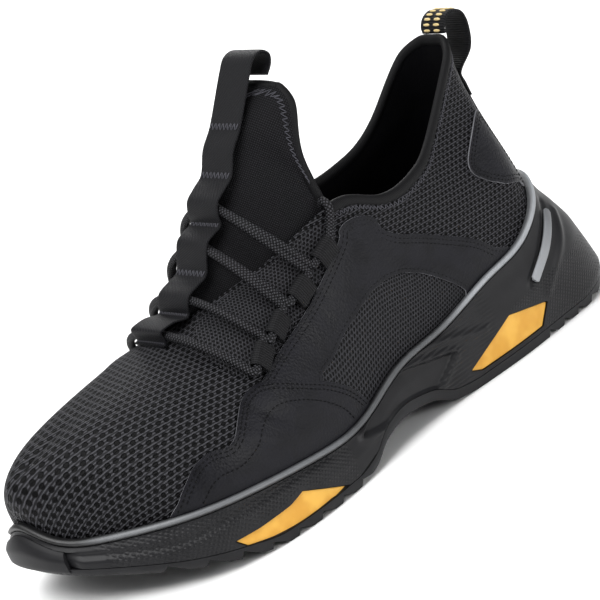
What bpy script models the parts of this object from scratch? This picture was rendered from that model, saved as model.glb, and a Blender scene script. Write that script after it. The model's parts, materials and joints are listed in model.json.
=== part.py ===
"""Left safety sneaker, standing empty on its sole.

Metres, +Z up. The toe points to -Y, the heel to +Y and the lateral side to +X. The origin is on the
floor, under the middle of the shoe. Sections run from the back of the heel round to the tip of the toe,
and each section has a lateral and a medial side, so one table serves both sides of a piece.
"""

import math

import bmesh
import bpy
import numpy as np
from mathutils import Vector

# Overall sizes
LENGTH = 0.298
BALL_WIDTH = 0.109
SOLE_HEIGHT = 0.040
COLLAR_HEIGHT = 0.129
INSTEP_HEIGHT = 0.084
TONGUE_HEIGHT = 0.1525

# Walls and clearances
GAP = 0.0003
UPPER_WALL = 0.0022
TONGUE_WALL = 0.0035
INSOLE_THICKNESS = 0.004
RIM_WIDTH = 0.0026
WALL_BULGE = 0.0053

# Outsole
LUG_DEPTH = 0.003
WEB_THICKNESS = 0.0015
LUG_PITCH = 0.0125
LUG_FLAT = 0.0042
LUG_RISER = 0.0009
BUMPER_THICKNESS = 0.0032
BUMPER_STEP = 0.0007
BUMPER_DROP = 0.0040

# Inserts, rim strip and heel bars
INSERT_DEPTH = 0.004
INSERT_RECESS = 0.0006
RIM_STRIP_HEIGHT = 0.0022
RIM_STRIP_BEAD = 0.0004
BAR_WIDTH = 0.0042
BAR_THICKNESS = 0.0014

# Webbing and lace
RIBBON_WIDTH = 0.020
RIBBON_THICKNESS = 0.0012
PULL_LOOP_WIDTH = 0.0145
PULL_LOOP_THICKNESS = 0.0016
SIDE_LOOP_WIDTH = 0.010
SIDE_LOOP_THICKNESS = 0.001
LACE_DIAMETER = 0.0034
LACE_CLEARANCE = 0.0001
MOUTH_CLEARANCE = 0.8
SIDE_LOOP_RADIUS = LACE_DIAMETER / 2 + SIDE_LOOP_THICKNESS / 2 + GAP
SIDE_LOOP_LIFT = SIDE_LOOP_THICKNESS / 2 + 3 * GAP

# Mesh density
COLUMNS_PER_SECTION = 3
UPPER_ROWS = 8
WALL_ROWS = 6
TONGUE_TURNS = 16
RIBBON_SPACING = 0.0033
PULL_LOOP_SPACING = 0.005
SIDE_LOOP_STEPS = 5
LACE_SPACING = 0.0065
LACE_SIDES = 6

# Plan outlines. Along is a share of the length from the back of the heel, and centre and half are
# shares of the ball width: the middle between the two sides, and half the distance between them.
OUTLINE_COLUMNS = ("tread_along", "tread_centre", "tread_half", "feather_along", "feather_centre", "feather_half")
OUTLINES = (
    (0.010, 0.025, 0.000, 0.074, 0.018, 0.000),
    (0.020, 0.028, 0.156, 0.084, 0.009, 0.119),
    (0.050, 0.025, 0.245, 0.111, 0.014, 0.206),
    (0.121, 0.018, 0.303, 0.164, 0.016, 0.264),
    (0.252, 0.020, 0.341, 0.262, 0.021, 0.300),
    (0.383, 0.026, 0.343, 0.376, 0.030, 0.300),
    (0.473, 0.048, 0.360, 0.466, 0.050, 0.312),
    (0.564, 0.056, 0.395, 0.560, 0.062, 0.346),
    (0.664, 0.043, 0.456, 0.661, 0.045, 0.407),
    (0.765, 0.011, 0.489, 0.758, 0.012, 0.442),
    (0.859, -0.030, 0.443, 0.849, -0.027, 0.398),
    (0.928, -0.086, 0.308, 0.920, -0.099, 0.278),
    (0.967, -0.130, 0.160, 0.962, -0.138, 0.140),
    (0.979, -0.147, 0.000, 0.973, -0.143, 0.000),
)

# Wall of the sole. Feather is the height of its top edge as a share of the sole height, and bulge is how
# far the wall swells beyond a straight line, as a share of the greatest bulge.
WALL_COLUMNS = ("feather", "bulge")
WALLS = (
    (1.500, 1.00),
    (1.475, 0.95),
    (1.350, 0.66),
    (1.110, 0.38),
    (0.990, 0.28),
    (0.800, 0.28),
    (0.755, 0.19),
    (0.555, 0.28),
    (0.570, 0.28),
    (0.650, 0.28),
    (0.695, 0.38),
    (0.710, 0.57),
    (0.775, 0.75),
    (0.925, 0.75),
)

# Top line of the upper: the collar, then the two edges of the throat, then the crest of the vamp, where
# both sides meet. Collar and instep are shares of those two heights and are added together.
TOP_LINE_COLUMNS = ("along", "centre", "half", "collar", "instep")
TOP_LINE = (
    (0.114, 0.009, 0.000, 1.000, 0.000),
    (0.119, 0.005, 0.085, 0.994, 0.000),
    (0.148, 0.007, 0.152, 0.952, 0.000),
    (0.211, 0.007, 0.182, 0.818, 0.000),
    (0.289, 0.007, 0.245, 0.717, 0.000),
    (0.379, 0.007, 0.282, 0.721, 0.000),
    (0.446, 0.005, 0.284, 0.390, 0.597),
    (0.547, -0.005, 0.225, 0.000, 1.095),
    (0.638, -0.018, 0.128, 0.000, 1.006),
    (0.715, -0.037, 0.000, 0.000, 0.905),
    (0.809, -0.064, 0.000, 0.000, 0.827),
    (0.886, -0.092, 0.000, 0.000, 0.750),
    (0.933, -0.115, 0.000, 0.000, 0.690),
    (0.947, -0.124, 0.000, 0.000, 0.667),
)

# Fullness of the upper between feather and top line. Rise and drop are shares of the height between
# them, and flare and crown are outward shares of the ball width.
FULLNESS_COLUMNS = ("rise", "flare", "crown", "drop")
FULLNESS = (
    (0.33, -0.055, -0.018, 0.33),
    (0.33, -0.050, -0.015, 0.33),
    (0.33, -0.030, -0.010, 0.33),
    (0.33, 0.000, 0.005, 0.33),
    (0.35, 0.015, 0.010, 0.33),
    (0.35, 0.020, 0.015, 0.33),
    (0.38, 0.020, 0.030, 0.33),
    (0.42, 0.020, 0.100, 0.20),
    (0.45, 0.020, 0.170, 0.08),
    (0.50, 0.020, 0.260, 0.00),
    (0.55, 0.015, 0.270, 0.00),
    (0.60, 0.012, 0.220, 0.00),
    (0.58, 0.015, 0.130, 0.00),
    (0.55, 0.045, 0.085, 0.00),
)

# Side view of the sole, as (share of the length from the heel, share of the sole height).
GROUND = (
    (0.00, 0.150), (0.05, 0.050), (0.10, 0.000), (0.33, 0.000), (0.38, 0.040), (0.43, 0.210), (0.49, 0.285),
    (0.53, 0.230), (0.57, 0.060), (0.61, 0.000), (0.75, 0.000), (0.81, 0.080), (0.87, 0.175), (0.93, 0.300),
    (1.00, 0.460),
)
FOOTBED = (
    (0.00, 0.730), (0.25, 0.675), (0.40, 0.590), (0.50, 0.515), (0.60, 0.420), (0.75, 0.390), (0.85, 0.465),
    (0.93, 0.560), (1.00, 0.660),
)

# How the bulge of the sole's wall is spread from tread (0) to feather (1).
BULGE_SHAPE = ((0.00, 0.00), (0.15, 0.95), (0.35, 1.00), (0.50, 1.00), (0.70, 0.60), (0.85, 0.15), (1.00, 0.00))

# Toe bumper: how deep the wall of the midsole is set back for it, by section.
BUMPER_SET_BACK = ((0.0, 0.0), (11.6, 0.0), (12.0, 0.7), (12.4, 1.0), (13.0, 1.0))
BUMPER_START = 11.9

# Rows of lugs: share of the length at the first and the last, pitch, and flat on the ground.
LUG_ROWS = (
    (0.083, 0.235, 0.0105, 0.0040),
    (0.609, 0.960, LUG_PITCH, LUG_FLAT),
)

# Inserts in the sole's wall, as corners (share of the length, share of the sole height). Reach is where a
# block for one starts and ends across the shoe, as a share of the ball width.
INSERTS = {
    "forefoot": (
        (0.822, 0.290), (0.800, 0.130), (0.733, 0.060), (0.655, 0.050), (0.630, 0.120), (0.705, 0.372),
        (0.731, 0.322), (0.782, 0.295),
    ),
    "heel": ((0.251, 0.505), (0.171, 0.365), (0.197, 0.160), (0.327, 0.160), (0.349, 0.225)),
}
INSERT_REACH = (0.20, 0.62)
INSERT_TOP_SHARE = 0.80

# Heel bar, as (share of the length, share of the sole height).
HEEL_BAR = ((0.095, 1.140), (0.140, 0.842), (0.183, 0.642))

# Tongue, one row a section from its foot to its top. Along is a share of the length, centre and half of
# the ball width, and height of the tongue height. A row with a tuck runs under the upper there, and its
# crest follows the upper's own where the throat is closed. The others end free, at half, back and drop
# from the crest.
TONGUE_COLUMNS = ("tuck", "along", "centre", "height", "half", "back", "drop")
TONGUE = (
    (9.60, 0.000, 0.000, 0.000, 0.000, 0.000, 0.000),
    (9.00, 0.000, 0.000, 0.000, 0.000, 0.000, 0.000),
    (8.70, 0.693, -0.030, 0.507, 0.000, 0.000, 0.000),
    (8.35, 0.672, -0.016, 0.534, 0.000, 0.000, 0.000),
    (7.65, 0.628, -0.002, 0.612, 0.000, 0.000, 0.000),
    (6.80, 0.583, 0.006, 0.706, 0.000, 0.000, 0.000),
    (6.20, 0.540, 0.012, 0.812, 0.000, 0.000, 0.000),
    (0.00, 0.500, 0.012, 0.914, 0.224, 0.044, 0.116),
    (0.00, 0.467, 0.012, 0.974, 0.204, 0.034, 0.042),
    (0.00, 0.441, 0.012, 1.000, 0.125, 0.014, 0.012),
)
TONGUE_TUCK_SHARE = 0.86
TONGUE_TUCK_PART = 0.30
TONGUE_EDGE_HANDLE = 0.45
TONGUE_CREST_HANDLE = 0.50
CLOSED_THROAT = 9.0

# Ribbon on the tongue's crest: row of the tongue, rise in lace diameters, and 1 where it runs over the
# upper. It rises over each crossing of the lace and is stitched down between them. Its loop at the top
# goes on from there, as (share of the length, share of the tongue height).
RIBBON_ROWS = (
    (0.86, 0.0, 1.00), (1.00, 0.0, 1.00), (1.30, 1.32, 1.00), (1.75, 1.60, 0.90), (2.25, 1.05, 0.50),
    (3.00, 0.05, 0.10), (3.22, 0.80, 0.0), (3.45, 1.25, 0.0), (3.72, 0.70, 0.0), (4.00, 0.0, 0.0),
    (4.32, 0.65, 0.0), (4.62, 1.20, 0.0), (4.85, 0.65, 0.0), (5.05, 0.0, 0.0), (5.22, 0.70, 0.0),
    (5.45, 1.20, 0.0), (5.72, 0.65, 0.0), (6.00, 0.0, 0.0), (6.50, 0.35, 0.0), (7.00, 0.0, 0.0),
)
RIBBON_LOOP = (
    (0.457, 1.034), (0.443, 1.064), (0.427, 1.070), (0.417, 1.053), (0.420, 1.029), (0.431, 1.006),
)

# Side loops: base and fold on the upper, each as (section, share), from the collar to the toe.
SIDE_LOOPS = (
    ((6.45, 0.735), (6.57, 0.855)),
    ((7.01, 0.640), (7.13, 0.760)),
    ((7.56, 0.565), (7.72, 0.645)),
    ((8.01, 0.475), (8.23, 0.545)),
)

# Strands of the lace, from the ribbon's crest to a side loop. Row is the tongue's row under the crossing,
# over is 1 where that lies on the upper, end is 1 for the loop's heelward mouth and -1 for the other, and
# arch is how far the strand rises above a straight line, as a share of the ball width.
STRAND_COLUMNS = ("row", "over", "loop", "end", "arch")
LACE_CROSSINGS = (
    ((5.45, 0.0, 0, -1, 0.085), (5.45, 0.0, 1, 1, 0.085)),
    ((4.62, 0.0, 1, -1, 0.070), (4.62, 0.0, 2, 1, 0.070)),
    ((3.45, 0.0, 2, -1, 0.060), (3.45, 0.0, 3, 1, 0.060)),
    ((1.75, 0.9, 3, -1, 0.064),),
)

# Pull loop at the heel, as (share of the length, share of the collar height), from the collar's edge.
PULL_LOOP = (
    (0.1115, 1.0045), (0.1110, 1.026), (0.1020, 1.051), (0.0870, 1.058), (0.0720, 1.036), (0.0690, 0.985),
    (0.0775, 0.920),
)
PULL_LOOP_END = (0.74, 0.66, 0.58)


def monotone(points, at):
    """Height of a smooth line through the points that never swings past them."""
    xs = [point[0] for point in points]
    ys = [point[1] for point in points]
    slopes = [(ys[i + 1] - ys[i]) / (xs[i + 1] - xs[i]) for i in range(len(xs) - 1)]
    tangents = [slopes[0]]
    for before, after in zip(slopes, slopes[1:]):
        flat = before * after <= 0
        tangents.append(0.0 if flat else 2 * before * after / (before + after))
    tangents.append(slopes[-1])
    at = min(max(at, xs[0]), xs[-1])
    i = max(0, min(len(xs) - 2, int(np.searchsorted(xs, at, side="right")) - 1))
    width = xs[i + 1] - xs[i]
    t = (at - xs[i]) / width
    return (
        ys[i] * (1 + 2 * t) * (1 - t) ** 2
        + tangents[i] * width * t * (1 - t) ** 2
        + ys[i + 1] * t * t * (3 - 2 * t)
        + tangents[i + 1] * width * t * t * (t - 1)
    )


class Smooth:
    """A cubic spline through one value a section. It runs on past both ends as its own mirror image."""

    def __init__(self, knots, values, odd):
        sign = -1.0 if odd else 1.0
        count = len(values)
        reach = 3
        before = [(-knots[i], sign * values[i]) for i in range(reach, 0, -1)]
        end = knots[-1]
        after = [(2 * end - knots[count - 1 - i], sign * values[count - 1 - i]) for i in range(1, reach + 1)]
        rows = before + list(zip(knots, values)) + after
        self.x = np.array([row[0] for row in rows])
        self.y = np.array([row[1] for row in rows])
        size = len(rows)
        step = np.diff(self.x)
        matrix = np.eye(size)
        right = np.zeros(size)
        for i in range(1, size - 1):
            matrix[i, i - 1] = step[i - 1]
            matrix[i, i] = 2 * (step[i - 1] + step[i])
            matrix[i, i + 1] = step[i]
            right[i] = 6 * ((self.y[i + 1] - self.y[i]) / step[i] - (self.y[i] - self.y[i - 1]) / step[i - 1])
        self.bend = np.linalg.solve(matrix, right)

    def __call__(self, at):
        i = max(0, min(len(self.x) - 2, int(np.searchsorted(self.x, at, side="right")) - 1))
        width = self.x[i + 1] - self.x[i]
        a = (self.x[i + 1] - at) / width
        b = (at - self.x[i]) / width
        bend = (a**3 - a) * self.bend[i] + (b**3 - b) * self.bend[i + 1]
        return a * self.y[i] + b * self.y[i + 1] + bend * width**2 / 6


def column(table, names, name):
    return [row[names.index(name)] for row in table]


def girth_knots():
    """Distance round the tread, from heel to toe, at each section."""
    along = [share * LENGTH for share in column(OUTLINES, OUTLINE_COLUMNS, "tread_along")]
    half = [share * BALL_WIDTH for share in column(OUTLINES, OUTLINE_COLUMNS, "tread_half")]
    steps = [math.hypot(along[i + 1] - along[i], half[i + 1] - half[i]) for i in range(len(along) - 1)]
    return [0.0] + list(np.cumsum(steps))


KNOTS = girth_knots()
LAST_SECTION = len(KNOTS) - 1
FORM = {name: Smooth(KNOTS, column(OUTLINES, OUTLINE_COLUMNS, name), name.endswith("half")) for name in OUTLINE_COLUMNS}
FORM.update({name: Smooth(KNOTS, column(WALLS, WALL_COLUMNS, name), False) for name in WALL_COLUMNS})
FORM.update({name: Smooth(KNOTS, column(FULLNESS, FULLNESS_COLUMNS, name), False) for name in FULLNESS_COLUMNS})

TOP_FORM = {name: Smooth(KNOTS, column(TOP_LINE, TOP_LINE_COLUMNS, name), False) for name in TOP_LINE_COLUMNS}
TOP_HALF = list(zip(KNOTS, column(TOP_LINE, TOP_LINE_COLUMNS, "half")))
TOP_HALF.insert(0, (-TOP_HALF[1][0], -TOP_HALF[1][1]))


def girth(section):
    """Distance round the tread at a section number, which may lie between two sections."""
    return float(np.interp(section, range(len(KNOTS)), KNOTS))


def value(name, section):
    return FORM[name](girth(section))


def to_y(along):
    return LENGTH * (0.5 - along)


def ground(along):
    return monotone(GROUND, along) * SOLE_HEIGHT


def footbed(along):
    return monotone(FOOTBED, along) * SOLE_HEIGHT


def outline(prefix, section, side):
    """A plan point of the tread or the feather line. Side is 1 for lateral and -1 for medial."""
    x = (value(prefix + "_centre", section) + side * value(prefix + "_half", section)) * BALL_WIDTH
    return Vector((x, to_y(value(prefix + "_along", section)), 0.0))


def outward(section, side):
    """Unit normal of the feather line in plan."""
    small = 0.02
    if section + small > LAST_SECTION:
        return Vector((0.0, -1.0, 0.0))
    if section - small < 0:
        return Vector((0.0, 1.0, 0.0))
    step = outline("feather", section + small, side) - outline("feather", section - small, side)
    normal = Vector((-step.y, step.x, 0.0)) * side
    return normal.normalized()


def wall_point(section, side, share, offset=0.0):
    """A point of the sole's outer wall, from the tread (0) to the feather (1)."""
    low = outline("tread", section, side)
    low.z = ground(value("tread_along", section))
    normal = outward(section, side)
    high = outline("feather", section, side) + normal * RIM_WIDTH
    high.z = value("feather", section) * SOLE_HEIGHT
    bulge = value("bulge", section) * WALL_BULGE * monotone(BULGE_SHAPE, share)
    return low.lerp(high, share) + normal * (bulge + offset)


def wall_share(section, side, height):
    """Share of the sole's wall that lies this far above the tread."""
    low = wall_point(section, side, 0.0).z
    high = wall_point(section, side, 1.0).z
    return height / (high - low)


def top_line(section, side):
    """A point of the collar, of the throat's edge or of the vamp's crest."""
    at = girth(section)
    along = TOP_FORM["along"](at)
    height = TOP_FORM["collar"](at) * COLLAR_HEIGHT + TOP_FORM["instep"](at) * INSTEP_HEIGHT
    x = (TOP_FORM["centre"](at) + side * monotone(TOP_HALF, at)) * BALL_WIDTH
    return Vector((x, to_y(along), height))


def bezier(points, share):
    a, b, c, d = points
    rest = 1 - share
    return a * rest**3 + b * 3 * rest**2 * share + c * 3 * rest * share**2 + d * share**3


def upper_handles(section, side):
    low = outline("feather", section, side)
    low.z = value("feather", section) * SOLE_HEIGHT
    high = top_line(section, side)
    normal = outward(section, side)
    height = high.z - low.z
    first = low + normal * value("flare", section) * BALL_WIDTH + Vector((0, 0, value("rise", section) * height))
    last = high + normal * value("crown", section) * BALL_WIDTH - Vector((0, 0, value("drop", section) * height))
    return low, first, last, high


def upper_point(section, side, share):
    """A point of the upper's outer face, from the feather (0) to the top line (1)."""
    return bezier(upper_handles(section, side), share)


def upper_normal(section, side, share):
    """Outward normal of the upper's outer face."""
    small = 0.01
    a = upper_point(section, side, min(share + small, 1.0)) - upper_point(section, side, share - small)
    b = upper_point(section + small, side, share) - upper_point(section - small, side, share)
    return a.cross(b).normalized() * side


def loop_sections(per_section=COLUMNS_PER_SECTION):
    """(section, side) of every column once round the shoe, starting at the heel on the lateral side."""
    count = LAST_SECTION * per_section
    lateral = [(i / per_section, 1) for i in range(count + 1)]
    medial = [(i / per_section, -1) for i in range(count - 1, 0, -1)]
    return lateral + medial


def new_object(name, bm, collection):
    bmesh.ops.remove_doubles(bm, verts=bm.verts, dist=1e-6)
    bmesh.ops.recalc_face_normals(bm, faces=bm.faces)
    mesh = bpy.data.meshes.new(name)
    bm.to_mesh(mesh)
    bm.free()
    mesh.shade_smooth()
    mesh.set_sharp_from_angle(angle=math.radians(35))
    obj = bpy.data.objects.new(name, mesh)
    collection.objects.link(obj)
    return obj


def loft_rings(name, rings, collection, closed_ends=True):
    """Joins closed rings of points one above another. Each end is closed by strips from side to side."""
    bm = bmesh.new()
    rows = [[bm.verts.new(point) for point in ring] for ring in rings]
    count = len(rings[0])
    for low, high in zip(rows, rows[1:]):
        for i in range(count):
            j = (i + 1) % count
            bm.faces.new((low[i], low[j], high[j], high[i]))
    if closed_ends:
        half = count // 2
        for row in (rows[0], rows[-1]):
            bm.faces.new((row[0], row[1], row[-1]))
            bm.faces.new((row[half], row[half + 1], row[half - 1]))
            for i in range(1, half - 1):
                bm.faces.new((row[i], row[i + 1], row[count - i - 1], row[count - i]))
    return new_object(name, bm, collection)


def skin(name, profiles, collection, closed=False):
    """Joins closed profiles one after another, either once round or with a face at each end."""
    bm = bmesh.new()
    rows = [[bm.verts.new(point) for point in profile] for profile in profiles]
    pairs = list(zip(rows, rows[1:]))
    if closed:
        pairs.append((rows[-1], rows[0]))
    else:
        bm.faces.new(rows[0])
        bm.faces.new(rows[-1])
    count = len(profiles[0])
    for low, high in pairs:
        for i in range(count):
            j = (i + 1) % count
            bm.faces.new((low[i], low[j], high[j], high[i]))
    return new_object(name, bm, collection)


def sweep(name, path, across, thickness, collection):
    """A flat strap. Path is its middle line, and across is half its width as a vector at each point."""
    profiles = []
    for i, point in enumerate(path):
        before = path[max(i - 1, 0)]
        after = path[min(i + 1, len(path) - 1)]
        normal = (after - before).cross(across[i]).normalized() * thickness / 2
        corners = (across[i] + normal, across[i] - normal, -across[i] - normal, -across[i] + normal)
        profiles.append([point + corner for corner in corners])
    return skin(name, profiles, collection)


def curve_through(points, spacing):
    """Points a set distance apart on a smooth line through the given ones."""
    knots = [0.0]
    for a, b in zip(points, points[1:]):
        knots.append(knots[-1] + (b - a).length)
    ends = [points[0] * 2 - points[1]] + list(points) + [points[-1] * 2 - points[-2]]
    knots = [-(knots[1])] + knots + [2 * knots[-1] - knots[-2]]
    count = max(2, round(knots[-2] / spacing))
    made = []
    for step in range(count + 1):
        at = knots[-2] * step / count
        i = max(1, min(len(points) - 1, int(np.searchsorted(knots, at, side="right")) - 1))
        width = knots[i + 1] - knots[i]
        t = (at - knots[i]) / width
        start = (ends[i + 1] - ends[i - 1]) / (knots[i + 1] - knots[i - 1]) * width
        stop = (ends[i + 2] - ends[i]) / (knots[i + 2] - knots[i]) * width
        made.append(
            ends[i] * (1 + 2 * t) * (1 - t) ** 2
            + start * t * (1 - t) ** 2
            + ends[i + 1] * t * t * (3 - 2 * t)
            + stop * t * t * (t - 1)
        )
    return made


def boolean(obj, cutter, operation):
    """Applies one exact Boolean to an object's mesh and removes the other object."""
    modifier = obj.modifiers.new(operation.title(), "BOOLEAN")
    modifier.operation = operation
    modifier.solver = "EXACT"
    modifier.object = cutter
    bpy.context.view_layer.update()
    graph = bpy.context.evaluated_depsgraph_get()
    mesh = bpy.data.meshes.new_from_object(obj.evaluated_get(graph))
    obj.modifiers.clear()
    obj.data = mesh
    bpy.data.objects.remove(cutter)


def paint(obj, name, colour, roughness, metallic=0.0):
    material = bpy.data.materials.get(name) or bpy.data.materials.new(name)
    material.use_nodes = True
    shader = material.node_tree.nodes["Principled BSDF"]
    shader.inputs["Base Color"].default_value = (*colour, 1.0)
    shader.inputs["Roughness"].default_value = roughness
    shader.inputs["Metallic"].default_value = metallic
    obj.data.materials.clear()
    obj.data.materials.append(material)


def start_scene():
    for obj in list(bpy.data.objects):
        bpy.data.objects.remove(obj)
    made = []
    for name in ("safety sneaker", "cutters"):
        collection = bpy.data.collections.new(name)
        bpy.context.scene.collection.children.link(collection)
        made.append(collection)
    made[1].hide_render = True
    return made


def depth_share(section, side, drop):
    """Share of the sole's wall that lies this far below its top."""
    return 1.0 - wall_share(section, side, drop)


def wall_place(along, height, side, offset=0.0):
    """A point of the sole's wall at a place in side view."""
    low, high = 0.0, float(LAST_SECTION)
    for _ in range(24):
        section = (low + high) / 2
        share = wall_share(section, side, height - ground(value("tread_along", section)))
        point = wall_point(section, side, share, offset)
        if point.y > to_y(along):
            low = section
        else:
            high = section
    return point


def wall_body(name, collection, low_height, top_share, set_in):
    """A solid block inside the sole's wall, set in from it all round."""
    rings = []
    for step in range(WALL_ROWS + 1):
        ring = []
        for section, side in loop_sections():
            low = wall_share(section, side, low_height)
            ring.append(wall_point(section, side, low + (top_share - low) * step / WALL_ROWS, -set_in))
        rings.append(ring)
    return loft_rings(name, rings, collection)


def prism(name, shape, x_from, x_to, collection):
    """A block with the given (y, z) shape, running across the shoe."""
    bm = bmesh.new()
    ends = [[bm.verts.new((x, y, z)) for y, z in shape] for x in (x_from, x_to)]
    for i in range(len(shape)):
        j = (i + 1) % len(shape)
        bm.faces.new((ends[0][i], ends[0][j], ends[1][j], ends[1][i]))
    bm.faces.new(ends[0])
    bm.faces.new(ends[1])
    return new_object(name, bm, collection)


def shrink(shape, distance):
    """The same (y, z) shape with every edge moved in."""
    area = sum(a[0] * b[1] - b[0] * a[1] for a, b in zip(shape, shape[1:] + shape[:1]))
    turn = 1.0 if area > 0 else -1.0
    made = []
    for i, point in enumerate(shape):
        here = Vector(point)
        before = (here - Vector(shape[i - 1])).normalized()
        after = (Vector(shape[(i + 1) % len(shape)]) - here).normalized()
        inward = [Vector((-edge.y, edge.x)) * turn for edge in (before, after)]
        bisector = (inward[0] + inward[1]).normalized()
        made.append(tuple(here + bisector * distance / bisector.dot(inward[0])))
    return made


def make_upper(collection):
    rings = []
    base = []
    for section, side in loop_sections():
        point = outline("feather", section, side)
        point.z = footbed(value("feather_along", section)) + GAP
        base.append(point)
    rings.append(base)
    for row in range(UPPER_ROWS + 1):
        rings.append([upper_point(section, side, row / UPPER_ROWS) for section, side in loop_sections()])
    upper = loft_rings("upper", rings, collection, closed_ends=False)
    wall = upper.modifiers.new("Wall", "SOLIDIFY")
    wall.thickness = UPPER_WALL
    wall.offset = -1.0
    wall.use_even_offset = True
    wall.use_rim = True
    paint(upper, "black air mesh", (0.012, 0.012, 0.013), 0.8)


def bumper_set_back(section):
    return monotone(BUMPER_SET_BACK, section) * (BUMPER_THICKNESS + GAP)


def make_midsole(collection):
    low_height = LUG_DEPTH + WEB_THICKNESS + GAP
    rings = []
    for step in range(WALL_ROWS + 1):
        ring = []
        for section, side in loop_sections():
            low = wall_share(section, side, low_height)
            high = depth_share(section, side, BUMPER_DROP)
            share = low + (high - low) * step / WALL_ROWS
            ring.append(wall_point(section, side, share, -bumper_set_back(section)))
        rings.append(ring)
    for drop in (BUMPER_DROP - GAP, RIM_STRIP_HEIGHT + GAP):
        rings.append([wall_point(section, side, depth_share(section, side, drop)) for section, side in loop_sections()])
    rim = []
    floor = []
    for section, side in loop_sections():
        point = outline("feather", section, side) + outward(section, side) * GAP
        point.z = value("feather", section) * SOLE_HEIGHT - RIM_STRIP_HEIGHT - GAP
        rim.append(point)
        floor.append(Vector((point.x, point.y, footbed(value("feather_along", section)))))
    rings += [rim, floor]
    midsole = loft_rings("midsole", rings, collection)
    paint(midsole, "moulded midsole foam", (0.045, 0.047, 0.05), 0.55)
    return midsole


def insert_block(name, shape, side, cutters, outer, inner):
    """The part of the sole's wall inside a (y, z) shape, between two depths below the wall's face."""
    near = side * INSERT_REACH[0] * BALL_WIDTH
    far = side * INSERT_REACH[1] * BALL_WIDTH
    block = prism(name, shape, near, far, cutters)
    boolean(block, wall_body("core", cutters, LUG_DEPTH, INSERT_TOP_SHARE, inner), "DIFFERENCE")
    if outer is not None:
        low_height = LUG_DEPTH + WEB_THICKNESS + GAP
        boolean(block, wall_body("shell", cutters, low_height, INSERT_TOP_SHARE, outer), "INTERSECT")
    return block


def make_inserts(midsole, collection, cutters):
    for place, corners in INSERTS.items():
        shape = [(to_y(along), height * SOLE_HEIGHT) for along, height in corners]
        for side, side_name in ((1, "lateral"), (-1, "medial")):
            name = "insert_" + place + "_" + side_name
            insert = insert_block(name, shrink(shape, GAP), side, cutters, INSERT_RECESS, INSERT_DEPTH - GAP)
            cutters.objects.unlink(insert)
            collection.objects.link(insert)
            paint(insert, "gold insert", (0.86, 0.52, 0.12), 0.45)
            boolean(midsole, insert_block("pocket", shape, side, cutters, None, INSERT_DEPTH), "DIFFERENCE")


def lug_grooves(cutters):
    """Wedges between the lugs. Each rises at once behind one lug and falls slowly to the next."""
    bm = bmesh.new()
    reach = BALL_WIDTH
    for first, last, pitch, flat in LUG_ROWS:
        count = int((last - first) * LENGTH / pitch + 0.5)
        for i in range(count):
            tip = first + i * pitch / LENGTH
            riser = tip - LUG_RISER / LENGTH
            start = tip - (pitch - flat) / LENGTH
            shape = [
                (to_y(tip), ground(tip) - LUG_DEPTH),
                (to_y(tip), ground(tip)),
                (to_y(riser), ground(riser) + LUG_DEPTH),
                (to_y(start), ground(start)),
                (to_y(start), ground(start) - LUG_DEPTH),
            ]
            ends = [[bm.verts.new((x, y, z)) for y, z in shape] for x in (-reach, reach)]
            for j in range(len(shape)):
                k = (j + 1) % len(shape)
                bm.faces.new((ends[0][j], ends[0][k], ends[1][k], ends[1][j]))
            bm.faces.new(ends[0])
            bm.faces.new(ends[1])
    return new_object("grooves", bm, cutters)


def make_bumper(cutters):
    """The outsole's wrap round the toe, as a band on the sole's wall."""
    profiles = []
    for section, side in loop_sections():
        if section < BUMPER_START:
            continue
        low = wall_share(section, side, LUG_DEPTH)
        high = depth_share(section, side, BUMPER_DROP)
        shares = [low + (high - low) * step / WALL_ROWS for step in range(WALL_ROWS + 1)]
        inner = bumper_set_back(section) - GAP
        profile = [wall_point(section, side, share, BUMPER_STEP) for share in shares]
        profile += [wall_point(section, side, share, -inner) for share in reversed(shares)]
        profiles.append(profile)
    return skin("bumper", profiles, cutters)


def make_outsole(collection, cutters):
    height = LUG_DEPTH + WEB_THICKNESS
    rings = []
    for level in (0.0, height / 2, height):
        rings.append([wall_point(section, side, wall_share(section, side, level)) for section, side in loop_sections()])
    outsole = loft_rings("outsole", rings, collection)
    boolean(outsole, make_bumper(cutters), "UNION")
    boolean(outsole, lug_grooves(cutters), "DIFFERENCE")
    paint(outsole, "outsole rubber", (0.03, 0.031, 0.033), 0.6)


def make_insole(collection):
    inset = UPPER_WALL + 2 * GAP
    rings = []
    for height in (GAP, INSOLE_THICKNESS):
        ring = []
        for section, side in loop_sections():
            point = outline("feather", section, side) - outward(section, side) * inset
            point.z = footbed(value("feather_along", section)) + height
            ring.append(point)
        rings.append(ring)
    insole = loft_rings("insole", rings, collection)
    paint(insole, "insole cloth", (0.02, 0.02, 0.021), 0.9)


def make_rim_strip(collection):
    profiles = []
    for section, side in loop_sections():
        normal = outward(section, side)
        low = depth_share(section, side, RIM_STRIP_HEIGHT)
        inner_top = outline("feather", section, side) + normal * GAP
        inner_top.z = value("feather", section) * SOLE_HEIGHT
        inner_low = inner_top - Vector((0.0, 0.0, RIM_STRIP_HEIGHT))
        outer_low = wall_point(section, side, low)
        outer_top = wall_point(section, side, 1.0)
        outer_low.z = inner_low.z
        middle = (outer_low + outer_top) / 2 + normal * RIM_STRIP_BEAD
        profiles.append([inner_low, outer_low, middle, outer_top, inner_top])
    strip = skin("rim_strip", profiles, collection, closed=True)
    paint(strip, "silver moulded rim", (0.45, 0.46, 0.47), 0.4)


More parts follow.
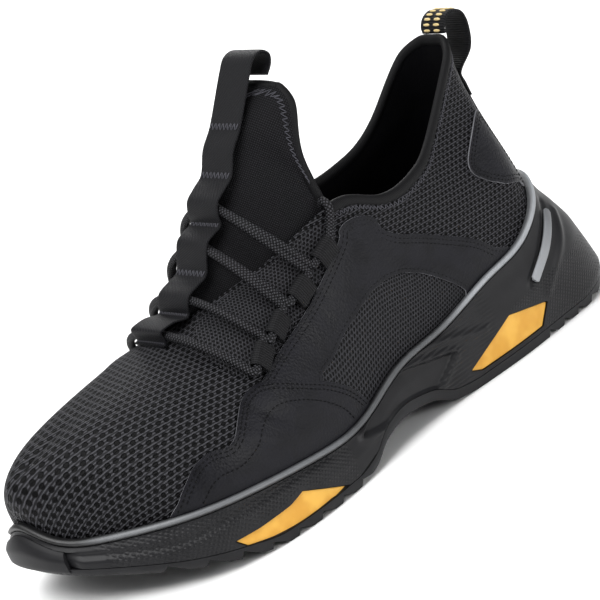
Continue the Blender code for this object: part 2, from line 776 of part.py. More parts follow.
def make_heel_bars(collection):
    for side, side_name in ((1, "lateral"), (-1, "medial")):
        stand_off = GAP + BAR_THICKNESS / 2
        corners = [Vector((0.0, to_y(along), height * SOLE_HEIGHT)) for along, height in HEEL_BAR]
        line = curve_through(corners, BAR_WIDTH)
        path = [wall_place(0.5 - point.y / LENGTH, point.z, side, stand_off) for point in line]
        across = []
        for i, point in enumerate(path):
            tangent = path[min(i + 1, len(path) - 1)] - path[max(i - 1, 0)]
            along = 0.5 - point.y / LENGTH
            above = wall_place(along, point.z + BAR_WIDTH, side, stand_off)
            below = wall_place(along, point.z - BAR_WIDTH, side, stand_off)
            ahead = wall_place(along + BAR_WIDTH / LENGTH, point.z, side, stand_off)
            normal = (above - below).cross(ahead - point)
            across.append(normal.cross(tangent).normalized() * BAR_WIDTH / 2)
        bar = sweep("heel_bar_" + side_name, path, across, BAR_THICKNESS, collection)
        paint(bar, "silver heel bar", (0.5, 0.51, 0.53), 0.35, 0.6)


def tucked_point(section, side, share):
    """A point just under the upper's inner face."""
    depth = UPPER_WALL + 3 * GAP
    return upper_point(section, side, share) - upper_normal(section, side, share) * depth


def tongue_value(name, index):
    return TONGUE[index][TONGUE_COLUMNS.index(name)]


def tongue_half(index, side, share):
    """A point of half a tongue section, from its side edge (0) to the crest (1)."""
    tuck = tongue_value("tuck", index)
    under = TONGUE_TUCK_SHARE + (1 - TONGUE_TUCK_SHARE) * min(share / TONGUE_TUCK_PART, 1.0)
    if tuck >= CLOSED_THROAT:
        return tucked_point(tuck, side, TONGUE_TUCK_SHARE + (1 - TONGUE_TUCK_SHARE) * share)
    if tuck and share < TONGUE_TUCK_PART:
        return tucked_point(tuck, side, under)
    crest = Vector((
        tongue_value("centre", index) * BALL_WIDTH,
        to_y(tongue_value("along", index)),
        tongue_value("height", index) * TONGUE_HEIGHT,
    ))
    if tuck:
        end = tucked_point(tuck, side, 1.0)
        rising = end - tucked_point(tuck, side, 0.97)
        first = end + rising.normalized() * (crest - end).yz.length * TONGUE_EDGE_HANDLE
        share = (share - TONGUE_TUCK_PART) / (1 - TONGUE_TUCK_PART)
    else:
        half = side * tongue_value("half", index) * BALL_WIDTH
        end = crest + Vector((half, tongue_value("back", index) * LENGTH, -tongue_value("drop", index) * TONGUE_HEIGHT))
        first = end + Vector((0.0, crest.y - end.y, crest.z - end.z)) * TONGUE_EDGE_HANDLE
    last = crest + Vector((end.x - crest.x, 0.0, 0.0)) * TONGUE_CREST_HANDLE
    return bezier((end, first, last, crest), share)


def tongue_point(row, turn):
    """A point of the tongue's outer face. Row runs up the crest and turn from medial (-1) to lateral (1)."""
    side = 1 if turn >= 0 else -1
    low = int(min(row, len(TONGUE) - 2))
    points = []
    for index in range(low - 1, low + 3):
        points.append(tongue_half(max(0, min(len(TONGUE) - 1, index)), side, 1 - abs(turn)))
    t = row - low
    a, b, c, d = points
    return (
        b
        + (c - a) * 0.5 * t
        + (a - b * 2.5 + c * 2 - d * 0.5) * t * t
        + (d - a + (b - c) * 3) * 0.5 * t**3
    )


def make_tongue(collection):
    bm = bmesh.new()
    rows = 2 * (len(TONGUE) - 1)
    grid = []
    for row in range(rows + 1):
        points = [tongue_point(row / 2, 2 * turn / TONGUE_TURNS - 1) for turn in range(TONGUE_TURNS + 1)]
        grid.append([bm.verts.new(point) for point in points])
    for low, high in zip(grid, grid[1:]):
        for i in range(TONGUE_TURNS):
            bm.faces.new((low[i], low[i + 1], high[i + 1], high[i]))
    tongue = new_object("tongue", bm, collection)
    wall = tongue.modifiers.new("Wall", "SOLIDIFY")
    wall.thickness = TONGUE_WALL
    wall.offset = -1.0
    wall.use_even_offset = True
    paint(tongue, "tongue knit", (0.014, 0.014, 0.015), 0.85)


def surface_normal(point, row, turn):
    small = 0.02
    up = point(row + small, turn) - point(row - small, turn)
    over = point(row, turn + small) - point(row, turn - small)
    return over.cross(up).normalized()


def above_crest(row, lift):
    """A point above the tongue's crest, or above the vamp's where the tongue has gone under it."""
    return tongue_point(row, 0.0) + surface_normal(tongue_point, row, 0.0) * lift


def make_ribbon(collection):
    under = UPPER_WALL + 3 * GAP
    flat = GAP + RIBBON_THICKNESS / 2
    points = [above_crest(row, flat + rise * LACE_DIAMETER + over * under) for row, rise, over in RIBBON_ROWS]
    centre = points[-1].x
    points += [Vector((centre, to_y(along), height * TONGUE_HEIGHT)) for along, height in RIBBON_LOOP]
    path = curve_through(points, RIBBON_SPACING)
    across = [Vector((RIBBON_WIDTH / 2, 0.0, 0.0))] * len(path)
    ribbon = sweep("tongue_ribbon", path, across, RIBBON_THICKNESS, collection)
    paint(ribbon, "black webbing", (0.016, 0.016, 0.018), 0.6)


def side_loop_frame(index, side):
    """Base, direction to the fold, direction along the fold, outward normal and length of a side loop."""
    (base_section, base_share), (fold_section, fold_share) = SIDE_LOOPS[index]
    base = upper_point(base_section, side, base_share)
    fold = upper_point(fold_section, side, fold_share)
    normal = upper_normal((base_section + fold_section) / 2, side, (base_share + fold_share) / 2)
    reach = fold - base
    reach -= normal * reach.dot(normal)
    length = reach.length
    reach.normalize()
    across = reach.cross(normal) * side
    return base, reach, across, normal, length


def side_loop_centre(index, side):
    """Where the lace runs through a side loop."""
    base, reach, _, normal, length = side_loop_frame(index, side)
    radius = SIDE_LOOP_RADIUS
    return base + reach * (length - radius) + normal * (SIDE_LOOP_LIFT + radius)


def make_side_loops(collection):
    for side, side_name in ((1, "lateral"), (-1, "medial")):
        for index in range(len(SIDE_LOOPS)):
            base, reach, across, normal, length = side_loop_frame(index, side)
            radius = SIDE_LOOP_RADIUS
            turned = length - radius
            line = [(0.0, SIDE_LOOP_LIFT), (turned / 2, SIDE_LOOP_LIFT)]
            for step in range(SIDE_LOOP_STEPS + 1):
                angle = math.pi * (step / SIDE_LOOP_STEPS - 0.5)
                line.append((turned + radius * math.cos(angle), SIDE_LOOP_LIFT + radius * (1 + math.sin(angle))))
            top = SIDE_LOOP_LIFT + SIDE_LOOP_THICKNESS + GAP
            line += [(turned * 0.45, (top + SIDE_LOOP_LIFT + 2 * radius) / 2), (0.0, top)]
            path = [base + reach * along + normal * height for along, height in line]
            widths = [across * SIDE_LOOP_WIDTH / 2] * len(path)
            name = "side_loop_" + side_name + "_" + str(index + 1)
            loop = sweep(name, path, widths, SIDE_LOOP_THICKNESS, collection)
            paint(loop, "black grosgrain", (0.03, 0.03, 0.032), 0.7)


def tube(name, path, radius, collection):
    """A round cord along a path, with its profile carried on from point to point."""
    profiles = []
    tangent = (path[1] - path[0]).normalized()
    across = tangent.orthogonal().normalized()
    for i, point in enumerate(path):
        tangent = (path[min(i + 1, len(path) - 1)] - path[max(i - 1, 0)]).normalized()
        across = (across - tangent * across.dot(tangent)).normalized()
        other = tangent.cross(across)
        profile = []
        for step in range(LACE_SIDES):
            angle = 2 * math.pi * step / LACE_SIDES
            profile.append(point + (across * math.cos(angle) + other * math.sin(angle)) * radius)
        profiles.append(profile)
    return skin(name, profiles, collection)


def lace_strand(strand, side):
    """Points from the ribbon's crest to the mouth of a side loop, arched over tongue and upper."""
    row, over, loop, end, arch = strand
    lift = GAP + LACE_DIAMETER / 2 + over * (UPPER_WALL + 3 * GAP) + LACE_CLEARANCE
    start = above_crest(row, lift)
    _, _, across, normal, _ = side_loop_frame(loop, side)
    stop = side_loop_centre(loop, side) + across * end * (SIDE_LOOP_WIDTH / 2 + LACE_DIAMETER * MOUTH_CLEARANCE)
    outward_way = (surface_normal(tongue_point, row, 0.0) + normal).normalized()
    points = []
    for share in (0.0, 0.2, 0.4, 0.6, 0.8, 1.0):
        points.append(start.lerp(stop, share) + outward_way * arch * BALL_WIDTH * 4 * share * (1 - share))
    return points


def make_lace(collection, cutters):
    for number, strands in enumerate(LACE_CROSSINGS, start=1):
        routes = [(strands[0], strands[-1])]
        if len(strands) > 1:
            routes.append((strands[1], strands[0]))
        made = None
        for lateral, medial in routes:
            points = list(reversed(lace_strand(lateral, 1))) + lace_strand(medial, -1)[1:]
            path = curve_through(points, LACE_SPACING)
            if made is None:
                name = "lace_cross_" if len(strands) > 1 else "lace_bar_"
                made = tube(name + str(number), path, LACE_DIAMETER / 2, collection)
            else:
                boolean(made, tube("strand", path, LACE_DIAMETER / 2, cutters), "UNION")
        paint(made, "braided lace", (0.05, 0.05, 0.053), 0.75)


def make_pull_loop(collection):
    points = [Vector((0.0, to_y(along), height * COLLAR_HEIGHT)) for along, height in PULL_LOOP]
    stand_off = Vector((0.0, 2 * GAP + PULL_LOOP_THICKNESS / 2, 0.0))
    points += [upper_point(0.0, 1, share) + stand_off for share in PULL_LOOP_END]
    centre = upper_point(0.0, 1, 1.0).x
    for point in points:
        point.x = centre
    path = curve_through(points, PULL_LOOP_SPACING)
    across = [Vector((PULL_LOOP_WIDTH / 2, 0.0, 0.0))] * len(path)
    loop = sweep("heel_pull_loop", path, across, PULL_LOOP_THICKNESS, collection)
    paint(loop, "black webbing", (0.016, 0.016, 0.018), 0.6)


def centre_on_origin(collection):
    """Moves every piece so that the middle of the whole lies over the origin."""
    graph = bpy.context.evaluated_depsgraph_get()
    corners = []
    for obj in collection.objects:
        corners += [Vector(corner) for corner in obj.evaluated_get(graph).bound_box]
    middle = [(min(c[i] for c in corners) + max(c[i] for c in corners)) / 2 for i in (0, 1)]
    for obj in collection.objects:
        obj.location -= Vector((middle[0], middle[1], 0.0))


def main():
    collection, cutters = start_scene()
    make_outsole(collection, cutters)
    midsole = make_midsole(collection)
    make_inserts(midsole, collection, cutters)
    make_rim_strip(collection)
    make_heel_bars(collection)
    make_insole(collection)
    make_upper(collection)
    make_tongue(collection)
    make_ribbon(collection)
    make_side_loops(collection)
    make_lace(collection, cutters)
    make_pull_loop(collection)
    centre_on_origin(collection)


main()
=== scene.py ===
# %% [markdown]
# This script dresses a left safety sneaker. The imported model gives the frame: every solid piece of the
# shoe at its place, in metres. Each visible piece is made again here, finer, from the same named sizes
# and tables, and rides on that frame.

# %% The frame
import bpy
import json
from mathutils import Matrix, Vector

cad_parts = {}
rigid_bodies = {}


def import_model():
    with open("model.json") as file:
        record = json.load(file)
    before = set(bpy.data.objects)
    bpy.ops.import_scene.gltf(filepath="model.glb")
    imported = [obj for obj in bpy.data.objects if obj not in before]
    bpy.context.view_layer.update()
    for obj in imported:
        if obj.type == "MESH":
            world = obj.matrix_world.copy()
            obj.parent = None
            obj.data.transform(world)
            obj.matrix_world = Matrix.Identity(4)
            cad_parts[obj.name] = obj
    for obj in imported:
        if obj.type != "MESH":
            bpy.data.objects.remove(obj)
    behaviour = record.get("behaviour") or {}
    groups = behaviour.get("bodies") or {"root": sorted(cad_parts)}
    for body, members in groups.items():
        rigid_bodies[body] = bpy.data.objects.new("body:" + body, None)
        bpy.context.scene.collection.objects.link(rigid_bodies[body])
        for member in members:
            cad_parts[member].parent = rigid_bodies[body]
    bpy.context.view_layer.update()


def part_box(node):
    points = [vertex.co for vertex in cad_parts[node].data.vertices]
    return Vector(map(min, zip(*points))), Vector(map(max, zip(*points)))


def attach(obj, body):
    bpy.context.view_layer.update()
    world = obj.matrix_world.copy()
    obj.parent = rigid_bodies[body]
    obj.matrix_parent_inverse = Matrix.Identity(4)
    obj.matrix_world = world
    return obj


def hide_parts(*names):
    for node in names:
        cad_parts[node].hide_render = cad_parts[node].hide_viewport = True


for leftover in list(bpy.data.objects):
    bpy.data.objects.remove(leftover)
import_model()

import json
import math

import bmesh
import numpy as np
from mathutils import Matrix, Vector
from mathutils.kdtree import KDTree

MM = 0.001
SIDES = ((1, "lateral"), (-1, "medial"))
ACROSS = Vector((1.0, 0.0, 0.0))
UP = Vector((0.0, 0.0, 1.0))

# %% [markdown]
# The shoe stands on a pale floor. A long lens looks at it from the toe's side, a little from above, and
# the camera is rolled, so the shoe seems to climb to the right.

# %% Camera, floor and lights
CAMERA_AZIMUTH = math.radians(55.77)
CAMERA_ELEVATION = math.radians(18.8)
CAMERA_ROLL = math.radians(20.19)
CAMERA_DISTANCE = 1146.9 * MM
CAMERA_CENTRE = Vector((-1.06 * MM, -1.2 * MM, 60 * MM))
CAMERA_SLIDE = (4.68 * MM, 2.81 * MM)
CAMERA_LENS = 169.4
# Each softbox: name, place, height that it is aimed at over the origin, size and watts.
SOFTBOXES = (
    ("key", (0.30, -0.70, 1.05), 0.05, (0.7, 0.5), 9.0),
    ("side", (1.15, 0.35, 0.40), 0.06, (0.5, 0.4), 6.0),
    ("back", (-0.9, 0.7, 0.6), 0.08, (0.6, 0.6), 5.0),
)
CEILING_STRENGTH = 2.75
CEILING_SPREAD = math.radians(80)
CEILING_TILT = (math.radians(12), math.radians(-10), 0.0)
ROOM_STRENGTH = 0.26


def place_camera():
    a, e, r = CAMERA_AZIMUTH, CAMERA_ELEVATION, CAMERA_ROLL
    back = Vector((math.sin(a) * math.cos(e), -math.cos(a) * math.cos(e), math.sin(e)))
    right = Vector((math.cos(a), math.sin(a), 0.0))
    up = back.cross(right)
    across = right * math.cos(r) - up * math.sin(r)
    above = right * math.sin(r) + up * math.cos(r)
    data = bpy.data.cameras.new("Camera")
    data.lens = CAMERA_LENS
    data.clip_start = 0.05
    camera = bpy.data.objects.new("Camera", data)
    turn = np.array([across, above, back]).T
    place = CAMERA_CENTRE + back * CAMERA_DISTANCE + across * CAMERA_SLIDE[0] + above * CAMERA_SLIDE[1]
    for row in range(3):
        for col in range(3):
            camera.matrix_world[row][col] = turn[row][col]
        camera.matrix_world[row][3] = place[row]
    bpy.context.scene.collection.objects.link(camera)
    bpy.context.scene.camera = camera


def lamp(name, kind, **settings):
    data = bpy.data.lights.new(name, kind)
    for key, value in settings.items():
        setattr(data, key, value)
    made = bpy.data.objects.new(name, data)
    bpy.context.scene.collection.objects.link(made)
    return made


place_camera()
for name, stand, aim, (width, height), watts in SOFTBOXES:
    softbox = lamp(name, "AREA", shape="RECTANGLE", size=width, size_y=height, energy=watts)
    softbox.location = stand
    softbox.rotation_euler = (Vector((0.0, 0.0, aim)) - Vector(stand)).to_track_quat("-Z", "Y").to_euler()
ceiling = lamp("ceiling", "SUN", energy=CEILING_STRENGTH, angle=CEILING_SPREAD)
ceiling.rotation_euler = CEILING_TILT
print("camera at", [round(c, 3) for c in bpy.context.scene.camera.matrix_world.translation])

# %% [markdown]
# Colours are written as the hex values that a screen shows, and turned linear for the shader. One small
# helper adds a node with its settings and links, so each material below reads as a short list.

# %% Colour and node helpers


def linear(hex_colour):
    """An sRGB hex colour as the linear values that a shader takes."""
    made = []
    for i in (1, 3, 5):
        share = int(hex_colour[i:i + 2], 16) / 255
        made.append(share / 12.92 if share <= 0.04045 else ((share + 0.055) / 1.055) ** 2.4)
    return (*made, 1.0)


def add(tree, kind, settings=None, links=None):
    """A node with its settings, by attribute or by socket, and its incoming links."""
    node = tree.nodes.new("ShaderNode" + kind)
    for key, value in (settings or {}).items():
        if isinstance(key, int) or key in node.inputs:
            node.inputs[key].default_value = value
        else:
            setattr(node, key, value)
    for key, socket in (links or {}).items():
        tree.links.new(socket, node.inputs[key])
    return node


def principled(name, colour, roughness, **sockets):
    """A new material, its node tree and its shader."""
    made = bpy.data.materials.new(name)
    made.use_nodes = True
    shader = made.node_tree.nodes["Principled BSDF"]
    shader.inputs["Base Color"].default_value = linear(colour)
    shader.inputs["Roughness"].default_value = roughness
    for key, value in sockets.items():
        shader.inputs[key.replace("_", " ")].default_value = value
    return made, made.node_tree, shader


def bump(tree, shader, height, depth, strength=1.0):
    """Relief of a real depth from a height between 0 and 1, on top of any relief that is there already."""
    links = {"Height": height}
    if shader.inputs["Normal"].links:
        links["Normal"] = shader.inputs["Normal"].links[0].from_socket
    node = add(tree, "Bump", {"Distance": depth, "Strength": strength}, links)
    tree.links.new(node.outputs["Normal"], shader.inputs["Normal"])


def tint(tree, shader, factor, low, high):
    """Base colour that runs between two hex colours with a factor."""
    mix = add(tree, "Mix", {"data_type": "RGBA"})
    mix.inputs[6].default_value = linear(low)
    mix.inputs[7].default_value = linear(high)
    tree.links.new(factor, mix.inputs[0])
    tree.links.new(mix.outputs[2], shader.inputs["Base Color"])


def maths(tree, operation, a, b=0.0):
    """One sum on sockets or numbers."""
    settings, links = {"operation": operation}, {}
    for i, value in enumerate((a, b)):
        (settings if isinstance(value, (int, float)) else links)[i] = value
    return add(tree, "Math", settings, links).outputs[0]


def ramp(tree, value, low, high):
    """The value taken from low..high to 0..1, smoothly."""
    settings = {"interpolation_type": "SMOOTHSTEP", 1: low, 2: high, 3: 0.0, 4: 1.0}
    return add(tree, "MapRange", settings, {0: value}).outputs[0]


def ridges(tree, vector, direction, pitch):
    """Waves of a real pitch across a direction, from 0 to 1."""
    dot = add(tree, "VectorMath", {"operation": "DOT_PRODUCT", 1: direction}, {0: vector}).outputs["Value"]
    wave = maths(tree, "COSINE", maths(tree, "MULTIPLY", dot, 2 * math.pi / pitch))
    return maths(tree, "MULTIPLY", maths(tree, "ADD", wave, 1.0), 0.5)


def grain(tree, vector, size, detail=2.0):
    """Soft random mottle with features of a real size."""
    return add(tree, "TexNoise", {"Scale": 1 / size, "Detail": detail}, {"Vector": vector}).outputs[0]


def places(tree, kind="Object"):
    return add(tree, "TexCoord").outputs[kind]


def mottle(tree, shader, vector, size, reach, low, high):
    """Base colour that drifts between two hex colours over patches of a real size."""
    tint(tree, shader, ramp(tree, grain(tree, vector, size), 0.5 - reach, 0.5 + reach), low, high)


def crossed(tree, vector, first, second, pitch):
    """Two sets of waves, one across the other."""
    return maths(tree, "MULTIPLY", ridges(tree, vector, first, pitch), ridges(tree, vector, second, pitch))


print("white as linear:", linear("#ffffff"))

# %% [markdown]
# The upper and tongue are open air mesh: a knitted fabric with a honeycomb of holes, about 3 mm apart,
# over a black backing. Three waves at 60 degrees add up to that honeycomb. The yarn between the holes
# stands up, and light streaks along its fibres are a painted highlight in its colour. The pattern follows
# the cloth's own flat pattern, in millimetres.

# %% Air mesh and knit
AIR_MESH_PITCH = 2.75
FINE_MESH_PITCH = 1.7
KNIT_PITCH = 0.9


def honeycomb(tree, vector, pitch):
    """1 in the middle of each hole and 0 on the yarn."""
    total = 0.0
    for degrees in (30, 90, 150):
        direction = (math.cos(math.radians(degrees)), math.sin(math.radians(degrees)), 0.0)
        total = maths(tree, "ADD", ridges(tree, vector, direction, pitch * math.sqrt(3) / 2), total)
    return maths(tree, "DIVIDE", total, 3.0)


def mesh_cloth(name, pitch, hole, yarn, depth):
    made, tree, shader = principled(name, yarn, 0.55, Specular_IOR_Level=0.1)
    vector = places(tree, "UV")
    holes = ramp(tree, honeycomb(tree, vector, pitch), 0.40, 0.68)
    fibre = ridges(tree, vector, (0.8, 0.6, 0.0), pitch * 0.36)
    solid = maths(tree, "SUBTRACT", 1.0, holes)
    # Painted highlight: the yarn's colour is lifted along the fibre ridges, where lamps would catch it.
    painted_yarn_highlight = maths(tree, "ADD", maths(tree, "MULTIPLY", maths(tree, "POWER", fibre, 2.0), 0.86), 0.14)
    tint(tree, shader, maths(tree, "MULTIPLY", solid, painted_yarn_highlight), hole, yarn)
    bump(tree, shader, solid, depth)
    bump(tree, shader, fibre, depth * 0.2)
    return made


AIR_MESH = mesh_cloth("air mesh, black polyester", AIR_MESH_PITCH, "#000001", "#424246", 0.8 * MM)
FINE_MESH = mesh_cloth("fine air mesh, black polyester", FINE_MESH_PITCH, "#000001", "#444448", 0.5 * MM)


def knit_cloth(name, colour):
    made, tree, shader = principled(name, colour, 0.8, Specular_IOR_Level=0.08)
    vector = places(tree, "UV")
    loops = crossed(tree, vector, (1.0, 0.35, 0.0), (-0.35, 1.0, 0.0), KNIT_PITCH)
    tint(tree, shader, loops, "#0d0d0e", colour)
    bump(tree, shader, loops, 0.2 * MM)
    return made


KNIT = knit_cloth("knitted tongue cloth", "#29292c")

# %% [markdown]
# Panels are pebbled synthetic leather: a thin coat pressed with fine cells, satin, faintly blue where it
# shines. Binding is smooth stretch tape. The lining is black plush that swallows the light.

# %% Leather, binding and lining
LEATHER_CELL = 1.0 * MM


def leather(name, low, high):
    made, tree, shader = principled(name, high, 0.36, Specular_IOR_Level=0.14)
    vector = places(tree)
    settings = {"feature": "SMOOTH_F1", "Scale": 1 / LEATHER_CELL, "Smoothness": 0.4}
    cells = add(tree, "TexVoronoi", settings, {"Vector": vector})
    patches = grain(tree, vector, 9 * MM)
    tint(tree, shader, ramp(tree, patches, 0.3, 0.7), low, high)
    bump(tree, shader, cells.outputs["Distance"], 0.16 * MM, 0.8)
    bump(tree, shader, grain(tree, vector, 0.35 * MM), 0.05 * MM)
    rough = add(tree, "MapRange", {1: 0.3, 2: 0.7, 3: 0.36, 4: 0.5}, {0: patches})
    tree.links.new(rough.outputs[0], shader.inputs["Roughness"])
    return made


LEATHER = leather("pebbled synthetic leather", "#0e0e12", "#15151a")
# Light grey on the panels' cut edges and rounded rims: partly the edge's own lighter tone, partly a painted
# highlight along them.
EDGE_TONE_AND_HIGHLIGHT = leather("leather edge, own tone and painted highlight", "#5c5c60", "#7c7c80")


def tape(name, low, high, pitch, direction, depth, roughness=0.6):
    """Woven tape: ribs of a real pitch on the tape's own map, in millimetres."""
    made, tree, shader = principled(name, high, roughness, Specular_IOR_Level=0.12)
    vector = places(tree, "UV")
    ribs = ridges(tree, vector, direction, pitch)
    tint(tree, shader, ribs, low, high)
    bump(tree, shader, ribs, depth)
    bump(tree, shader, ridges(tree, vector, (direction[1], -direction[0], 0.0), pitch * 0.7), depth * 0.4)
    return made


BINDING = tape("stretch binding tape", "#0a0a0b", "#121214", 0.7, (1.0, 0.2, 0.0), 0.06 * MM, 0.55)
WEBBING = tape("twill webbing", "#08080a", "#1a1a1d", 0.75, (0.7071, 0.7071, 0.0), 0.12 * MM, 0.5)
GROSGRAIN = tape("grosgrain tape", "#0a0a0b", "#1e1e20", 1.0, (0.0, 1.0, 0.0), 0.18 * MM)


def plush(name, colour):
    made, tree, shader = principled(name, colour, 0.95, Specular_IOR_Level=0.05)
    bump(tree, shader, grain(tree, places(tree), 0.5 * MM, 4.0), 0.25 * MM)
    return made


LINING = plush("plush lining", "#08080a")
INSOLE_CLOTH = plush("insole cloth", "#0c0c0d")


def yarn(name, low, high, pitch, depth):
    """Round braid: two sets of strands that cross on the cord's own map, in millimetres."""
    made, tree, shader = principled(name, high, 0.6, Specular_IOR_Level=0.12)
    vector = places(tree, "UV")
    braid = crossed(tree, vector, (1.0, 0.75, 0.0), (1.0, -0.75, 0.0), pitch)
    tint(tree, shader, braid, low, high)
    bump(tree, shader, braid, depth)
    return made


LACE = yarn("braided lace", "#050506", "#4a4a4e", 1.5, 0.35 * MM)
THREAD = principled("sewing thread", "#44444a", 0.5, Specular_IOR_Level=0.2)[0]
DARK_THREAD = principled("black sewing thread", "#040405", 0.5, Specular_IOR_Level=0.1)[0]
GOLD_THREAD = principled("pale gold thread", "#c9b27a", 0.5)[0]

# %% [markdown]
# The sole is moulded. The foam has a fine matte skin, and parts of its wall carry a pressed hatch. The
# rubber below is a little rougher. The rim is painted silver, and the inserts are gold moulded plastic.

# %% Foam, rubber, silver and gold


def moulded(name, low, high, roughness, hatch):
    made, tree, shader = principled(name, high, roughness, Specular_IOR_Level=0.2)
    vector = places(tree)
    mottle(tree, shader, vector, 14 * MM, 0.2, low, high)
    bump(tree, shader, grain(tree, vector, 0.3 * MM), 0.03 * MM)
    if hatch:
        lines = crossed(tree, vector, (0.0, 0.55, 0.83), (0.0, 0.83, -0.55), 1.5 * MM)
        ribs = ridges(tree, vector, (0.0, 0.0, 1.0), 1.7 * MM)
        hatched = add(tree, "Attribute", {"attribute_name": "hatch"}).outputs["Fac"]
        ribbed = add(tree, "Attribute", {"attribute_name": "ribs"}).outputs["Fac"]
        bump(tree, shader, maths(tree, "MULTIPLY", lines, hatched), 0.25 * MM)
        bump(tree, shader, maths(tree, "MULTIPLY", ribs, ribbed), 0.16 * MM)
    return made


FOAM = moulded("moulded foam, dark grey", "#151517", "#1c1c1e", 0.42, True)
RUBBER = moulded("outsole rubber, dark grey", "#161618", "#1d1d1f", 0.5, False)


def gold_plastic():
    made, tree, shader = principled("moulded plastic, pale gold", "#d9a440", 0.42, Specular_IOR_Level=0.35)
    vector = places(tree)
    mottle(tree, shader, vector, 12 * MM, 0.15, "#cc9431", "#dda945")
    bump(tree, shader, grain(tree, vector, 0.4 * MM), 0.02 * MM)
    return made


def silver_paint():
    """Satin silver paint over dark foam. The piece's own attribute sets how much silver shows: none where the
    foam is bare, and elsewhere a painted highlight in its colour.
    """
    made, tree, shader = principled("silver paint on foam", "#b8bcc0", 0.4, Specular_IOR_Level=0.4)
    paint_and_highlight = add(tree, "Attribute", {"attribute_name": "paint_and_highlight"}).outputs["Fac"]
    worn = maths(tree, "MULTIPLY", grain(tree, places(tree), 4 * MM), 0.12)
    tint(tree, shader, maths(tree, "SUBTRACT", paint_and_highlight, worn), "#141415", "#9a9da1")
    bump(tree, shader, grain(tree, places(tree), 0.3 * MM), 0.02 * MM)
    return made


GOLD = gold_plastic()
SILVER = silver_paint()
print(len(bpy.data.materials), "materials")

# %% The floor
FLOOR_SIZE = 12.0


def object_from(name, bm, materials=()):
    """A bmesh as an object in the scene."""
    mesh = bpy.data.meshes.new(name)
    bm.to_mesh(mesh)
    bm.free()
    for material in materials:
        mesh.materials.append(material)
    made = bpy.data.objects.new(name, mesh)
    bpy.context.scene.collection.objects.link(made)
    return made


def make_floor():
    bm = bmesh.new()
    bmesh.ops.create_grid(bm, x_segments=8, y_segments=8, size=FLOOR_SIZE / 2)
    made, tree, shader = principled("pale studio paper", "#fafafa", 0.95, Specular_IOR_Level=0.1)
    tint(tree, shader, grain(tree, places(tree), 400 * MM), "#f9f9f9", "#fcfcfc")
    floor = object_from("floor", bm, [made])


make_floor()
world = bpy.data.worlds.new("studio")
world.use_nodes = True
world.node_tree.nodes["Background"].inputs["Color"].default_value = linear("#ffffff")
world.node_tree.nodes["Background"].inputs["Strength"].default_value = ROOM_STRENGTH
bpy.context.scene.world = world
bpy.context.scene.view_settings.view_transform = "Standard"

# %% [markdown]
# The last gives the shoe its form. Sections run from the back of the heel to the tip of the toe, and each
# has a lateral and a medial side. The sizes and tables are those of the solid model, so the finer pieces
# made here lie where its pieces are. Lengths in the tables are shares of the overall sizes.

# %% Sizes and tables of the form

# Overall sizes
LENGTH = 0.298
BALL_WIDTH = 0.109
SOLE_HEIGHT = 0.040
COLLAR_HEIGHT = 0.129
INSTEP_HEIGHT = 0.084
TONGUE_HEIGHT = 0.1525

# Walls and clearances
GAP = 0.0003
UPPER_WALL = 0.0022
TONGUE_WALL = 0.0035
INSOLE_THICKNESS = 0.004
RIM_WIDTH = 0.0026
WALL_BULGE = 0.0053

# Outsole
LUG_DEPTH = 0.003
WEB_THICKNESS = 0.0015
LUG_PITCH = 0.0125
LUG_FLAT = 0.0042
LUG_RISER = 0.0009
BUMPER_THICKNESS = 0.0032
BUMPER_STEP = 0.0007
BUMPER_DROP = 0.0040

# Inserts, rim strip and heel bars
INSERT_DEPTH = 0.004
INSERT_RECESS = 0.0006
RIM_STRIP_HEIGHT = 0.0022
RIM_STRIP_BEAD = 0.0004
BAR_WIDTH = 0.0042
BAR_THICKNESS = 0.0014

# Webbing and lace
RIBBON_WIDTH = 0.020
RIBBON_THICKNESS = 0.0012
PULL_LOOP_WIDTH = 0.0145
PULL_LOOP_THICKNESS = 0.0016
SIDE_LOOP_WIDTH = 0.010
SIDE_LOOP_THICKNESS = 0.001
LACE_DIAMETER = 0.0034
LACE_CLEARANCE = 0.0001
MOUTH_CLEARANCE = 0.8
SIDE_LOOP_RADIUS = LACE_DIAMETER / 2 + SIDE_LOOP_THICKNESS / 2 + GAP
SIDE_LOOP_LIFT = SIDE_LOOP_THICKNESS / 2 + 3 * GAP

# Plan outlines. Along is a share of the length from the back of the heel, and centre and half are
# shares of the ball width: the middle between the two sides, and half the distance between them.
OUTLINE_COLUMNS = (
    "tread_along", "tread_centre", "tread_half", "feather_along", "feather_centre", "feather_half",
)
OUTLINES = (
    (0.010, 0.025, 0.000, 0.074, 0.018, 0.000),
    (0.020, 0.028, 0.156, 0.084, 0.009, 0.119),
    (0.050, 0.025, 0.245, 0.111, 0.014, 0.206),
    (0.121, 0.018, 0.303, 0.164, 0.016, 0.264),
    (0.252, 0.020, 0.341, 0.262, 0.021, 0.300),
    (0.383, 0.026, 0.343, 0.376, 0.030, 0.300),
    (0.473, 0.048, 0.360, 0.466, 0.050, 0.312),
    (0.564, 0.056, 0.395, 0.560, 0.062, 0.346),
    (0.664, 0.043, 0.456, 0.661, 0.045, 0.407),
    (0.765, 0.011, 0.489, 0.758, 0.012, 0.442),
    (0.859, -0.030, 0.443, 0.849, -0.027, 0.398),
    (0.928, -0.086, 0.308, 0.920, -0.099, 0.278),
    (0.967, -0.130, 0.160, 0.962, -0.138, 0.140),
    (0.979, -0.147, 0.000, 0.973, -0.143, 0.000),
)

# Wall of the sole. Feather is the height of its top edge as a share of the sole height, and bulge is how
# far the wall swells beyond a straight line, as a share of the greatest bulge.
WALL_COLUMNS = ("feather", "bulge")
WALLS = (
    (1.500, 1.00),
    (1.475, 0.95),
    (1.350, 0.66),
    (1.110, 0.38),
    (0.990, 0.28),
    (0.800, 0.28),
    (0.755, 0.19),
    (0.555, 0.28),
    (0.570, 0.28),
    (0.650, 0.28),
    (0.695, 0.38),
    (0.710, 0.57),
    (0.775, 0.75),
    (0.925, 0.75),
)

